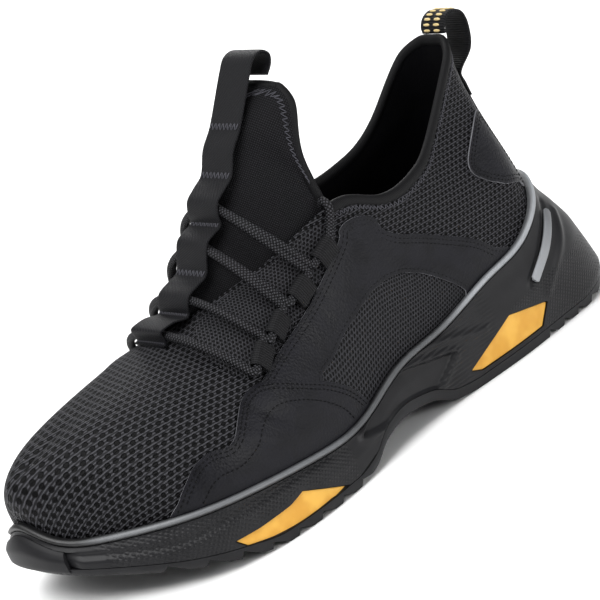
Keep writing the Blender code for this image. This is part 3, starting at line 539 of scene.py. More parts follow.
# Top line of the upper: the collar, then the two edges of the throat, then the crest of the vamp, where
# both sides meet. Collar and instep are shares of those two heights and are added together.
TOP_LINE_COLUMNS = ("along", "centre", "half", "collar", "instep")
TOP_LINE = (
    (0.114, 0.009, 0.000, 1.000, 0.000),
    (0.119, 0.005, 0.085, 0.994, 0.000),
    (0.148, 0.007, 0.152, 0.952, 0.000),
    (0.211, 0.007, 0.182, 0.818, 0.000),
    (0.289, 0.007, 0.245, 0.717, 0.000),
    (0.379, 0.007, 0.282, 0.721, 0.000),
    (0.446, 0.005, 0.284, 0.390, 0.597),
    (0.547, -0.005, 0.225, 0.000, 1.095),
    (0.638, -0.018, 0.128, 0.000, 1.006),
    (0.715, -0.037, 0.000, 0.000, 0.905),
    (0.809, -0.064, 0.000, 0.000, 0.827),
    (0.886, -0.092, 0.000, 0.000, 0.750),
    (0.933, -0.115, 0.000, 0.000, 0.690),
    (0.947, -0.124, 0.000, 0.000, 0.667),
)

# Fullness of the upper between feather and top line. Rise and drop are shares of the height between
# them, and flare and crown are outward shares of the ball width.
FULLNESS_COLUMNS = ("rise", "flare", "crown", "drop")
FULLNESS = (
    (0.33, -0.055, -0.018, 0.33),
    (0.33, -0.050, -0.015, 0.33),
    (0.33, -0.030, -0.010, 0.33),
    (0.33, 0.000, 0.005, 0.33),
    (0.35, 0.015, 0.010, 0.33),
    (0.35, 0.020, 0.015, 0.33),
    (0.38, 0.020, 0.030, 0.33),
    (0.42, 0.020, 0.100, 0.20),
    (0.45, 0.020, 0.170, 0.08),
    (0.50, 0.020, 0.260, 0.00),
    (0.55, 0.015, 0.270, 0.00),
    (0.60, 0.012, 0.220, 0.00),
    (0.58, 0.015, 0.130, 0.00),
    (0.55, 0.045, 0.085, 0.00),
)

# Side view of the sole, as (share of the length from the heel, share of the sole height).
GROUND = (
    (0.00, 0.150), (0.05, 0.050), (0.10, 0.000), (0.33, 0.000), (0.38, 0.040), (0.43, 0.210), (0.49, 0.285),
    (0.53, 0.230), (0.57, 0.060), (0.61, 0.000), (0.75, 0.000), (0.81, 0.080), (0.87, 0.175), (0.93, 0.300),
    (1.00, 0.460),
)
FOOTBED = (
    (0.00, 0.730), (0.25, 0.675), (0.40, 0.590), (0.50, 0.515), (0.60, 0.420), (0.75, 0.390), (0.85, 0.465),
    (0.93, 0.560), (1.00, 0.660),
)

# How the bulge of the sole's wall is spread from tread (0) to feather (1).
BULGE_SHAPE = (
    (0.00, 0.00), (0.15, 0.95), (0.35, 1.00), (0.50, 1.00), (0.70, 0.60), (0.85, 0.15), (1.00, 0.00),
)

# Toe bumper: how deep the wall of the midsole is set back for it, by section.
BUMPER_SET_BACK = ((0.0, 0.0), (11.6, 0.0), (12.0, 0.7), (12.4, 1.0), (13.0, 1.0))

# Rows of lugs: share of the length at the first and the last, pitch, and flat on the ground.
LUG_ROWS = (
    (0.083, 0.235, 0.0105, 0.0040),
    (0.609, 0.960, LUG_PITCH, LUG_FLAT),
)

# Inserts in the sole's wall, as corners (share of the length, share of the sole height).
INSERTS = {
    "forefoot": (
        (0.822, 0.290), (0.800, 0.130), (0.733, 0.060), (0.655, 0.050), (0.630, 0.120), (0.705, 0.372),
        (0.731, 0.322), (0.782, 0.295),
    ),
    "heel": ((0.251, 0.505), (0.171, 0.365), (0.197, 0.160), (0.327, 0.160), (0.349, 0.225)),
}

# Heel bar, as (share of the length, share of the sole height).
HEEL_BAR = ((0.095, 1.140), (0.140, 0.842), (0.183, 0.642))

# Tongue, one row a section from its foot to its top. Along is a share of the length, centre and half of
# the ball width, and height of the tongue height. A row with a tuck runs under the upper there, and its
# crest follows the upper's own where the throat is closed. The others end free, at half, back and drop
# from the crest.
TONGUE_COLUMNS = ("tuck", "along", "centre", "height", "half", "back", "drop")
TONGUE = (
    (9.60, 0.000, 0.000, 0.000, 0.000, 0.000, 0.000),
    (9.00, 0.000, 0.000, 0.000, 0.000, 0.000, 0.000),
    (8.70, 0.693, -0.030, 0.507, 0.000, 0.000, 0.000),
    (8.35, 0.672, -0.016, 0.534, 0.000, 0.000, 0.000),
    (7.65, 0.628, -0.002, 0.612, 0.000, 0.000, 0.000),
    (6.80, 0.583, 0.006, 0.706, 0.000, 0.000, 0.000),
    (6.20, 0.540, 0.012, 0.812, 0.000, 0.000, 0.000),
    (0.00, 0.500, 0.012, 0.914, 0.224, 0.044, 0.116),
    (0.00, 0.467, 0.012, 0.974, 0.204, 0.034, 0.042),
    (0.00, 0.441, 0.012, 1.000, 0.125, 0.014, 0.012),
)
TONGUE_TUCK_SHARE = 0.86
TONGUE_TUCK_PART = 0.30
TONGUE_EDGE_HANDLE = 0.45
TONGUE_CREST_HANDLE = 0.50
CLOSED_THROAT = 9.0

# Ribbon on the tongue's crest: row of the tongue, rise in lace diameters, and 1 where it runs over the
# upper. It rises over each crossing of the lace and is stitched down between them. Its loop at the top
# goes on from there, as (share of the length, share of the tongue height).
RIBBON_ROWS = (
    (0.86, 0.0, 1.00), (1.00, 0.0, 1.00), (1.30, 1.32, 1.00), (1.75, 1.60, 0.90), (2.25, 1.05, 0.50),
    (3.00, 0.05, 0.10), (3.22, 0.80, 0.0), (3.45, 1.25, 0.0), (3.72, 0.70, 0.0), (4.00, 0.0, 0.0),
    (4.32, 0.65, 0.0), (4.62, 1.20, 0.0), (4.85, 0.65, 0.0), (5.05, 0.0, 0.0), (5.22, 0.70, 0.0),
    (5.45, 1.20, 0.0), (5.72, 0.65, 0.0), (6.00, 0.0, 0.0), (6.50, 0.35, 0.0), (7.00, 0.0, 0.0),
)
RIBBON_LOOP = (
    (0.457, 1.034), (0.443, 1.064), (0.427, 1.070), (0.417, 1.053), (0.420, 1.029), (0.431, 1.006),
)

# Side loops: base and fold on the upper, each as (section, share), from the collar to the toe.
SIDE_LOOPS = (
    ((6.45, 0.735), (6.57, 0.855)),
    ((7.01, 0.640), (7.13, 0.760)),
    ((7.56, 0.565), (7.72, 0.645)),
    ((8.01, 0.475), (8.23, 0.545)),
)

# Strands of the lace, from the ribbon's crest to a side loop. Row is the tongue's row under the crossing,
# over is 1 where that lies on the upper, end is 1 for the loop's heelward mouth and -1 for the other, and
# arch is how far the strand rises above a straight line, as a share of the ball width.
LACE_CROSSINGS = (
    ((5.45, 0.0, 0, -1, 0.085), (5.45, 0.0, 1, 1, 0.085)),
    ((4.62, 0.0, 1, -1, 0.070), (4.62, 0.0, 2, 1, 0.070)),
    ((3.45, 0.0, 2, -1, 0.060), (3.45, 0.0, 3, 1, 0.060)),
    ((1.75, 0.9, 3, -1, 0.064),),
)

# Pull loop at the heel, as (share of the length, share of the collar height), from the collar's edge.
PULL_LOOP = (
    (0.1115, 1.0045), (0.1110, 1.026), (0.1020, 1.051), (0.0870, 1.058), (0.0720, 1.036), (0.0690, 0.985),
    (0.0775, 0.920),
)
PULL_LOOP_END = (0.74, 0.66, 0.58)

# %% [markdown]
# Two kinds of smooth line run through those tables: one that never swings past its points, and a cubic
# spline that runs on past heel and toe as its own mirror image, so both ends of the shoe are round.

# %% Smooth lines


def hermite(start, leaving, stop, arriving, t):
    """A cubic between two values with the given slopes at its ends."""
    return (
        start * (1 + 2 * t) * (1 - t) ** 2 + leaving * t * (1 - t) ** 2
        + stop * t * t * (3 - 2 * t) + arriving * t * t * (t - 1)
    )


def catmull(a, b, c, d, t):
    """A cubic from b to c that runs on smoothly towards a and d."""
    return (
        b + (c - a) * 0.5 * t + (a - b * 2.5 + c * 2 - d * 0.5) * t**2
        + (d - a + (b - c) * 3) * 0.5 * t**3
    )


def run_of(points):
    """Distance along a line at each of its points."""
    return np.concatenate([[0.0], np.cumsum(np.linalg.norm(np.diff(points, axis=0), axis=1))])


def span_at(path, i):
    """The step from the point before a place on a path to the point after it."""
    return path[min(i + 1, len(path) - 1)] - path[max(i - 1, 0)]


def monotone(points, at):
    """Height of a smooth line through the points that never swings past them."""
    xs = [point[0] for point in points]
    ys = [point[1] for point in points]
    slopes = [(ys[i + 1] - ys[i]) / (xs[i + 1] - xs[i]) for i in range(len(xs) - 1)]
    tangents = [slopes[0]]
    for before, after in zip(slopes, slopes[1:]):
        flat = before * after <= 0
        tangents.append(0.0 if flat else 2 * before * after / (before + after))
    tangents.append(slopes[-1])
    at = min(max(at, xs[0]), xs[-1])
    i = max(0, min(len(xs) - 2, int(np.searchsorted(xs, at, side="right")) - 1))
    width = xs[i + 1] - xs[i]
    return hermite(ys[i], tangents[i] * width, ys[i + 1], tangents[i + 1] * width, (at - xs[i]) / width)


class Smooth:
    """A cubic spline through one value a section. It runs on past both ends as its own mirror image."""

    def __init__(self, knots, values, odd):
        sign = -1.0 if odd else 1.0
        count = len(values)
        reach = 3
        before = [(-knots[i], sign * values[i]) for i in range(reach, 0, -1)]
        end = knots[-1]
        after = [(2 * end - knots[count - 1 - i], sign * values[count - 1 - i]) for i in range(1, reach + 1)]
        rows = before + list(zip(knots, values)) + after
        self.x = np.array([row[0] for row in rows])
        self.y = np.array([row[1] for row in rows])
        size = len(rows)
        step = np.diff(self.x)
        matrix = np.eye(size)
        right = np.zeros(size)
        for i in range(1, size - 1):
            matrix[i, i - 1] = step[i - 1]
            matrix[i, i] = 2 * (step[i - 1] + step[i])
            matrix[i, i + 1] = step[i]
            right[i] = 6 * ((self.y[i + 1] - self.y[i]) / step[i] - (self.y[i] - self.y[i - 1]) / step[i - 1])
        self.bend = np.linalg.solve(matrix, right)

    def __call__(self, at):
        i = max(0, min(len(self.x) - 2, int(np.searchsorted(self.x, at, side="right")) - 1))
        width = self.x[i + 1] - self.x[i]
        a = (self.x[i + 1] - at) / width
        b = (at - self.x[i]) / width
        bend = (a**3 - a) * self.bend[i] + (b**3 - b) * self.bend[i + 1]
        return a * self.y[i] + b * self.y[i + 1] + bend * width**2 / 6


def column(table, names, name):
    return [row[names.index(name)] for row in table]


def girth_knots():
    """Distance round the tread, from heel to toe, at each section."""
    along = [share * LENGTH for share in column(OUTLINES, OUTLINE_COLUMNS, "tread_along")]
    half = [share * BALL_WIDTH for share in column(OUTLINES, OUTLINE_COLUMNS, "tread_half")]
    steps = [math.hypot(along[i + 1] - along[i], half[i + 1] - half[i]) for i in range(len(along) - 1)]
    return [0.0] + list(np.cumsum(steps))


KNOTS = girth_knots()
LAST_SECTION = len(KNOTS) - 1
FORM = {
    name: Smooth(KNOTS, column(table, names, name), name.endswith("half"))
    for table, names in ((OUTLINES, OUTLINE_COLUMNS), (WALLS, WALL_COLUMNS), (FULLNESS, FULLNESS_COLUMNS))
    for name in names
}
TOP_FORM = {
    name: Smooth(KNOTS, column(TOP_LINE, TOP_LINE_COLUMNS, name), False)
    for name in ("along", "centre", "collar", "instep")
}
TOP_HALF = list(zip(KNOTS, column(TOP_LINE, TOP_LINE_COLUMNS, "half")))
TOP_HALF.insert(0, (-TOP_HALF[1][0], -TOP_HALF[1][1]))

# %% Places on the form


def girth(section):
    """Distance round the tread at a section number, which may lie between two sections."""
    return float(np.interp(section, range(len(KNOTS)), KNOTS))


def value(name, section):
    return FORM[name](girth(section))


def to_y(along):
    return LENGTH * (0.5 - along)


def to_along(y):
    return 0.5 - y / LENGTH


def ground(along):
    return monotone(GROUND, along) * SOLE_HEIGHT


def footbed(along):
    return monotone(FOOTBED, along) * SOLE_HEIGHT


def outline(prefix, section, side):
    """A plan point of the tread or the feather line. Side is 1 for lateral and -1 for medial."""
    x = (value(prefix + "_centre", section) + side * value(prefix + "_half", section)) * BALL_WIDTH
    return Vector((x, to_y(value(prefix + "_along", section)), 0.0))


def feather_point(section, side):
    """A point of the feather line, where sole and upper meet."""
    point = outline("feather", section, side)
    point.z = value("feather", section) * SOLE_HEIGHT
    return point


def outward(section, side):
    """Unit normal of the feather line in plan."""
    small = 0.02
    if section + small > LAST_SECTION:
        return Vector((0.0, -1.0, 0.0))
    if section - small < 0:
        return Vector((0.0, 1.0, 0.0))
    step = outline("feather", section + small, side) - outline("feather", section - small, side)
    normal = Vector((-step.y, step.x, 0.0)) * side
    return normal.normalized()


def wall_point(section, side, share, offset=0.0):
    """A point of the sole's outer wall, from the tread (0) to the feather (1)."""
    low = outline("tread", section, side)
    low.z = ground(value("tread_along", section))
    normal = outward(section, side)
    high = feather_point(section, side) + normal * RIM_WIDTH
    bulge = value("bulge", section) * WALL_BULGE * monotone(BULGE_SHAPE, share)
    return low.lerp(high, share) + normal * (bulge + offset)


def wall_share(section, side, height):
    """Share of the sole's wall that lies this far above the tread."""
    low = wall_point(section, side, 0.0).z
    high = wall_point(section, side, 1.0).z
    return height / (high - low)


def depth_share(section, side, drop):
    """Share of the sole's wall that lies this far below its top."""
    return 1.0 - wall_share(section, side, drop)


def top_line(section, side):
    """A point of the collar, of the throat's edge or of the vamp's crest."""
    at = girth(section)
    along = TOP_FORM["along"](at)
    height = TOP_FORM["collar"](at) * COLLAR_HEIGHT + TOP_FORM["instep"](at) * INSTEP_HEIGHT
    x = (TOP_FORM["centre"](at) + side * monotone(TOP_HALF, at)) * BALL_WIDTH
    return Vector((x, to_y(along), height))


def bezier(points, share):
    a, b, c, d = points
    rest = 1 - share
    return a * rest**3 + b * 3 * rest**2 * share + c * 3 * rest * share**2 + d * share**3


def upper_handles(section, side):
    low, high = feather_point(section, side), top_line(section, side)
    normal = outward(section, side)
    height = high.z - low.z
    first = low + normal * value("flare", section) * BALL_WIDTH + UP * value("rise", section) * height
    last = high + normal * value("crown", section) * BALL_WIDTH - UP * value("drop", section) * height
    return low, first, last, high


def upper_point(section, side, share):
    """A point of the upper's outer face, from the feather (0) to the top line (1)."""
    return bezier(upper_handles(section, side), share)


def upper_normal(section, side, share):
    """Outward normal of the upper's outer face."""
    small = 0.01
    a = upper_point(section, side, min(share + small, 1.0)) - upper_point(section, side, share - small)
    b = upper_point(section + small, side, share) - upper_point(section - small, side, share)
    return a.cross(b).normalized() * side


LOOP_COLUMNS = 3


def loop_sections(per_section=LOOP_COLUMNS):
    """(section, side) of every column once round the shoe, starting at the heel on the lateral side."""
    count = LAST_SECTION * per_section
    lateral = [(i / per_section, 1) for i in range(count + 1)]
    medial = [(i / per_section, -1) for i in range(count - 1, 0, -1)]
    return lateral + medial


# %% Places on the tongue, the side loops and the lace


def tucked_point(section, side, share):
    """A point just under the upper's inner face."""
    depth = UPPER_WALL + 3 * GAP
    return upper_point(section, side, share) - upper_normal(section, side, share) * depth


def tongue_value(name, index):
    return TONGUE[index][TONGUE_COLUMNS.index(name)]


def tongue_half(index, side, share):
    """A point of half a tongue section, from its side edge (0) to the crest (1)."""
    tuck = tongue_value("tuck", index)
    under = TONGUE_TUCK_SHARE + (1 - TONGUE_TUCK_SHARE) * min(share / TONGUE_TUCK_PART, 1.0)
    if tuck >= CLOSED_THROAT:
        return tucked_point(tuck, side, TONGUE_TUCK_SHARE + (1 - TONGUE_TUCK_SHARE) * share)
    if tuck and share < TONGUE_TUCK_PART:
        return tucked_point(tuck, side, under)
    crest = Vector((
        tongue_value("centre", index) * BALL_WIDTH,
        to_y(tongue_value("along", index)),
        tongue_value("height", index) * TONGUE_HEIGHT,
    ))
    if tuck:
        end = tucked_point(tuck, side, 1.0)
        rising = end - tucked_point(tuck, side, 0.97)
        first = end + rising.normalized() * (crest - end).yz.length * TONGUE_EDGE_HANDLE
        share = (share - TONGUE_TUCK_PART) / (1 - TONGUE_TUCK_PART)
    else:
        half = side * tongue_value("half", index) * BALL_WIDTH
        back, drop = tongue_value("back", index) * LENGTH, tongue_value("drop", index) * TONGUE_HEIGHT
        end = crest + Vector((half, back, -drop))
        first = end + Vector((0.0, crest.y - end.y, crest.z - end.z)) * TONGUE_EDGE_HANDLE
    last = crest + Vector((end.x - crest.x, 0.0, 0.0)) * TONGUE_CREST_HANDLE
    return bezier((end, first, last, crest), share)


def tongue_point(row, turn):
    """A point of the tongue's outer face. Row runs up the crest and turn from medial (-1) to lateral (1)."""
    side = 1 if turn >= 0 else -1
    low = int(min(row, len(TONGUE) - 2))
    points = []
    for index in range(low - 1, low + 3):
        points.append(tongue_half(max(0, min(len(TONGUE) - 1, index)), side, 1 - abs(turn)))
    return catmull(*points, row - low)


def surface_normal(point, row, turn):
    small = 0.02
    up = point(row + small, turn) - point(row - small, turn)
    over = point(row, turn + small) - point(row, turn - small)
    return over.cross(up).normalized()


def above_crest(row, lift):
    """A point above the tongue's crest, or above the vamp's where the tongue has gone under it."""
    return tongue_point(row, 0.0) + surface_normal(tongue_point, row, 0.0) * lift


def curve_through(points, spacing):
    """Points a set distance apart on a smooth line through the given ones."""
    knots = [0.0]
    for a, b in zip(points, points[1:]):
        knots.append(knots[-1] + (b - a).length)
    ends = [points[0] * 2 - points[1]] + list(points) + [points[-1] * 2 - points[-2]]
    knots = [-(knots[1])] + knots + [2 * knots[-1] - knots[-2]]
    count = max(2, round(knots[-2] / spacing))
    made = []
    for step in range(count + 1):
        at = knots[-2] * step / count
        i = max(1, min(len(points) - 1, int(np.searchsorted(knots, at, side="right")) - 1))
        width = knots[i + 1] - knots[i]
        leaving = (ends[i + 1] - ends[i - 1]) / (knots[i + 1] - knots[i - 1]) * width
        arriving = (ends[i + 2] - ends[i]) / (knots[i + 2] - knots[i]) * width
        made.append(hermite(ends[i], leaving, ends[i + 1], arriving, (at - knots[i]) / width))
    return made


def side_loop_frame(index, side):
    """Base, direction to the fold, direction along the fold, outward normal and length of a side loop."""
    (base_section, base_share), (fold_section, fold_share) = SIDE_LOOPS[index]
    base = upper_point(base_section, side, base_share)
    fold = upper_point(fold_section, side, fold_share)
    normal = upper_normal((base_section + fold_section) / 2, side, (base_share + fold_share) / 2)
    reach = fold - base
    reach -= normal * reach.dot(normal)
    length = reach.length
    reach.normalize()
    across = reach.cross(normal) * side
    return base, reach, across, normal, length


def side_loop_centre(index, side):
    """Where the lace runs through a side loop."""
    base, reach, _, normal, length = side_loop_frame(index, side)
    radius = SIDE_LOOP_RADIUS
    return base + reach * (length - radius) + normal * (SIDE_LOOP_LIFT + radius)


def lace_strand(strand, side):
    """Points from the ribbon's crest to the mouth of a side loop, arched over tongue and upper."""
    row, over, loop, end, arch = strand
    lift = GAP + LACE_DIAMETER / 2 + over * (UPPER_WALL + 3 * GAP) + LACE_CLEARANCE
    start = above_crest(row, lift)
    _, _, across, normal, _ = side_loop_frame(loop, side)
    mouth = SIDE_LOOP_WIDTH / 2 + LACE_DIAMETER * MOUTH_CLEARANCE
    stop = side_loop_centre(loop, side) + across * end * mouth
    outward_way = (surface_normal(tongue_point, row, 0.0) + normal).normalized()
    points = []
    for share in (0.0, 0.2, 0.4, 0.6, 0.8, 1.0):
        points.append(start.lerp(stop, share) + outward_way * arch * BALL_WIDTH * 4 * share * (1 - share))
    return points


# %% [markdown]
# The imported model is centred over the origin, and the form above isn't yet. The insole's box says how far
# apart they are, and every finished piece is moved by that much.

# %% From the form to the frame


def find_shift():
    inset = UPPER_WALL + 2 * GAP
    ring = [outline("feather", s, side) - outward(s, side) * inset for s, side in loop_sections(3)]
    low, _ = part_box("insole")
    return Vector((low.x - min(p.x for p in ring), low.y - min(p.y for p in ring), 0.0))


SHIFT = find_shift()
print("shift in mm:", [round(c / MM, 2) for c in SHIFT])


def grid(columns, rows):
    """A flat grid as a bmesh, with each vertex's place on it from (0, 0) to (1, 1)."""
    bm = bmesh.new()
    bmesh.ops.create_grid(bm, x_segments=columns, y_segments=rows, size=0.5)
    return bm, np.array([(v.co.x + 0.5, v.co.y + 0.5) for v in bm.verts])


def place(bm, points):
    for vert, point in zip(bm.verts, points):
        vert.co = point


def new_layer(bm, name, values):
    """A value at each vertex, under a name that materials can read."""
    layer = bm.verts.layers.float.new(name)
    for vert, value_there in zip(bm.verts, values):
        vert[layer] = value_there
    return layer


def fill_holes(bm):
    bmesh.ops.holes_fill(bm, edges=[e for e in bm.edges if e.is_boundary], sides=0)


def once_round(uv):
    """Section and side of each place on a grid that goes once round the shoe from the heel."""
    way = uv[:, 0] * 2 * LAST_SECTION
    lateral = way <= LAST_SECTION
    return np.where(lateral, way, 2 * LAST_SECTION - way), np.where(lateral, 1, -1)


def ring_grid(rings, closed=False):
    """A grid laid on rings of points, with each vertex's place in its ring's order and its ring."""
    round_count, ring_count = len(rings[0]), len(rings)
    bm, uv = grid(round_count, ring_count - 1 + closed)
    at = np.rint(uv[:, 0] * round_count).astype(int) % round_count
    level = np.rint(uv[:, 1] * (ring_count - 1 + closed)).astype(int) % ring_count
    place(bm, [rings[k][i] for i, k in zip(at, level)])
    return bm, at, level


def finish_piece(name, bm, materials, slot, stands_for=(), merge=0.004 * MM, recalc=True, smooth=60.0):
    """A bmesh as a piece that rides on the shoe, moved to the model's frame."""
    if merge:
        bmesh.ops.remove_doubles(bm, verts=bm.verts, dist=merge)
    if recalc:
        bmesh.ops.recalc_face_normals(bm, faces=bm.faces)
    bmesh.ops.translate(bm, verts=bm.verts, vec=SHIFT)
    obj = object_from(name, bm, materials)
    obj.data.shade_smooth()
    obj.data.set_sharp_from_angle(angle=math.radians(smooth))
    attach(obj, "root")
    if stands_for:
        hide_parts(*stands_for)
    print(name, "has", len(obj.data.polygons), "faces")
    return obj


def wall(obj, thickness, offset, inner=0, rim=None):
    """Gives a sheet its thickness. The far side and the rim take the materials that many slots on."""
    made = obj.modifiers.new("Wall", "SOLIDIFY")
    made.thickness = thickness
    made.offset = offset
    made.material_offset = inner
    made.material_offset_rim = inner if rim is None else rim


def soften(obj, width, material=-1):
    """Rounds a sheet's cut edges, in a material of their own if one is given."""
    made = obj.modifiers.new("Edge", "BEVEL")
    made.width = width
    made.segments = 2
    made.limit_method = "ANGLE"
    made.angle_limit = math.radians(50)
    made.material = material


# %% [markdown]
# Leather and mesh fold where the foot bends and where the heel gives. Each crease here is a soft line on
# the upper, from one (section, share of the height) to another, with a depth and a width. A trough has a
# ridge beside it. They are worked into the upper's form, so panels and stitches follow them.

# %% Creases
CREASES = (
    (8.35, 0.50, 9.20, 0.95, -0.7 * MM, 4.0 * MM),
    (8.55, 0.42, 9.55, 0.88, 0.5 * MM, 4.0 * MM),
    (7.95, 0.14, 8.60, 0.34, -0.6 * MM, 3.0 * MM),
    (8.25, 0.08, 8.95, 0.26, 0.45 * MM, 3.0 * MM),
    (4.20, 0.30, 5.30, 0.66, -0.6 * MM, 5.0 * MM),
    (3.30, 0.45, 4.60, 0.80, 0.5 * MM, 6.0 * MM),
    (2.20, 0.70, 3.60, 0.92, -0.7 * MM, 5.0 * MM),
    (1.00, 0.55, 2.60, 0.72, 0.4 * MM, 5.0 * MM),
    (6.10, 0.05, 7.40, 0.40, -0.5 * MM, 5.0 * MM),
    (5.60, 0.20, 6.70, 0.50, 0.4 * MM, 5.0 * MM),
)
SKIN_STEPS = 24
SKIN_ROWS = 96


def skin_table(side):
    """Points and outward normals of one side of the upper, by section and share, creases included."""
    sections = np.linspace(0, LAST_SECTION, LAST_SECTION * SKIN_STEPS + 1)
    handles = np.array([[tuple(p) for p in upper_handles(s, side)] for s in sections])
    t = np.linspace(0, 1, SKIN_ROWS + 1)[None, :, None]
    a, b, c, d = (handles[:, i, None, :] for i in range(4))
    points = a * (1 - t) ** 3 + b * 3 * (1 - t) ** 2 * t + c * 3 * (1 - t) * t * t + d * t**3

    def normals_of(points):
        made = np.cross(np.gradient(points, axis=1), np.gradient(points, axis=0)) * side
        made[0, :, 0] = made[-1, :, 0] = 0.0
        made[:, -1] = made[:, -2]
        closed = sections >= CLOSED_THROAT
        made[closed, -1, 0] = 0.0
        return made / np.linalg.norm(made, axis=2, keepdims=True)

    normals = normals_of(points)
    lift = np.zeros(points.shape[:2])
    for s0, v0, s1, v1, depth, width in CREASES:
        way = np.linspace(0, 1, 40)
        rows = np.clip(np.rint((s0 + (s1 - s0) * way) * SKIN_STEPS).astype(int), 0, len(sections) - 1)
        cols = np.rint((v0 + (v1 - v0) * way) * SKIN_ROWS).astype(int)
        line = points[rows, cols]
        fade = np.sin(np.pi * np.clip(way, 0.02, 0.98)) ** 0.7
        away = np.linalg.norm(points[:, :, None, :] - line[None, None], axis=3)
        near = np.exp(-((away / width) ** 2)) * fade
        lift += depth * near.max(axis=2)
    points = points + normals * lift[:, :, None]
    return points, normals_of(points)


SKIN = {side: skin_table(side) for side in (1, -1)}
print("upper's form:", SKIN[1][0].shape)


def on_skin(sections, side, shares, lift=0.0):
    """Points on the upper, a little above its face."""
    s = np.clip(np.asarray(sections, float) * SKIN_STEPS, 0, LAST_SECTION * SKIN_STEPS - 1e-6)
    v = np.clip(np.asarray(shares, float) * SKIN_ROWS, 0, SKIN_ROWS - 1e-6)
    i, j = s.astype(int), v.astype(int)
    f, g = (s - i)[..., None], (v - j)[..., None]

    def mix(table):
        low = table[i, j] * (1 - g) + table[i, j + 1] * g
        high = table[i + 1, j] * (1 - g) + table[i + 1, j + 1] * g
        return low * (1 - f) + high * f

    points, normals = SKIN[side]
    normal = mix(normals)
    normal /= np.linalg.norm(normal, axis=-1, keepdims=True)
    return mix(points) + normal * lift


def skin_point(section, side, share, lift=0.0):
    return Vector(on_skin([section], side, [share], lift)[0])


def skin_way(section, side, share):
    """Outward normal at one place on the upper."""
    return (skin_point(section, side, share, 1.0) - skin_point(section, side, share)).normalized()


def laid_on(side, lift=0.0):
    """Lays flat (section, share) points on one side of the upper."""
    return lambda flat: on_skin(flat[:, 0], side, flat[:, 1], lift)


# %% [markdown]
# The upper is one sheet that goes once round the shoe. It starts as a flat grid, is laid on the form, and
# is closed along the vamp's crest. Its map is its own flat pattern, unrolled from a seam at the heel, so
# the mesh runs over it as cloth does. Solidify then gives it its wall, with plush on the inner side.

# %% Upper
UPPER_COLUMNS = 14
UPPER_FINE_ROWS = 60


def unroll(obj, seam):
    """Maps a sheet by unrolling it from a seam, in millimetres. Seam says which edges to cut."""
    for edge in obj.data.edges:
        ends = [obj.data.vertices[i].co for i in edge.vertices]
        edge.use_seam = all(seam(end) for end in ends)
    bpy.context.view_layer.objects.active = obj
    obj.select_set(True)
    bpy.ops.object.mode_set(mode="EDIT")
    bpy.ops.mesh.select_all(action="SELECT")
    bpy.ops.uv.unwrap(method="ANGLE_BASED", margin=0.0)
    bpy.ops.object.mode_set(mode="OBJECT")
    obj.select_set(False)
    mesh = obj.data
    flat = np.zeros(len(mesh.loops) * 2)
    mesh.uv_layers.active.data.foreach_get("uv", flat)
    flat = flat.reshape(-1, 2)
    starts = np.array([p.loop_start for p in mesh.polygons])
    corners = [flat[starts + i] for i in range(3)]
    first, second = corners[1] - corners[0], corners[2] - corners[0]
    mapped = np.abs(first[:, 0] * second[:, 1] - first[:, 1] * second[:, 0])
    ids = np.array([l.vertex_index for l in mesh.loops])
    co = np.array([v.co[:] for v in mesh.vertices])
    first, second = (co[ids[starts + k]] - co[ids[starts]] for k in (1, 2))
    real = np.linalg.norm(np.cross(first, second), axis=1)
    scale = math.sqrt(real.sum() / mapped.sum()) / MM
    mesh.uv_layers.active.data.foreach_set("uv", (flat * scale).ravel())
    print(obj.name, "is unrolled over", [round(v) for v in np.ptp(flat * scale, axis=0)], "mm")


def make_upper_sheet():
    count = LAST_SECTION * UPPER_COLUMNS
    bm, uv = grid(2 * count, UPPER_FINE_ROWS)
    section, side = once_round(uv)
    share = np.maximum(uv[:, 1] * UPPER_FINE_ROWS - 1, 0) / (UPPER_FINE_ROWS - 1)
    lateral, medial = on_skin(section, 1, share), on_skin(section, -1, share)
    points = np.where((side == 1)[:, None], lateral, medial)
    crest = (share > 0.999) & (section >= CLOSED_THROAT)
    points[crest] = (lateral[crest] + medial[crest]) / 2
    for i in np.nonzero(uv[:, 1] < 0.5 / UPPER_FINE_ROWS)[0]:
        base = outline("feather", section[i], int(side[i]))
        base.z = footbed(value("feather_along", section[i])) + GAP
        points[i] = base
    place(bm, points)
    heel = skin_point(0.0, 1, 0.5) + SHIFT
    upper = finish_piece("upper_shell", bm, [AIR_MESH, LINING], "upper_mesh", ["upper"], merge=0.06 * MM)
    unroll(upper, lambda co: abs(co.x - heel[0]) < 1.0 * MM and co.y > 60 * MM)
    wall(upper, UPPER_WALL, -1.0, inner=1)


make_upper_sheet()

# %% [markdown]
# Panels are cut from the upper's form. A grid over (section, share) gets each vertex's distance from the
# panel's outline, its edges are split where that distance is nothing, and what lies outside is deleted.
# The rest is laid on the form and given the leather's thickness, so the edge is crisp and follows the last.

# %% Cutting a panel
PANEL_THICKNESS = 0.8 * MM
PANEL_CELL = 1.1 * MM


def smooth_loop(corners, closed=True, steps=10):
    """A smooth line through corners, as an array."""
    corners = [np.array(c, float) for c in corners]
    count = len(corners)
    made = []
    for i in range(count if closed else count - 1):
        if closed:
            p = [corners[(i + k) % count] for k in (-1, 0, 1, 2)]
        else:
            p = [corners[max(0, min(count - 1, i + k))] for k in (-1, 0, 1, 2)]
        made += [catmull(*p, t) for t in np.linspace(0, 1, steps, endpoint=False)]
    if not closed:
        made.append(corners[-1])
    return np.array(made)


def inside(points, loop):
    """Which flat points lie inside a closed flat line."""
    made = np.zeros(len(points), bool)
    x, y = points[:, 0], points[:, 1]
    for (x0, y0), (x1, y1) in zip(loop, np.roll(loop, -1, axis=0)):
        crosses = (y0 > y) != (y1 > y)
        with np.errstate(divide="ignore", invalid="ignore"):
            made ^= crosses & (x < (x1 - x0) * (y - y0) / (y1 - y0) + x0)
    return made


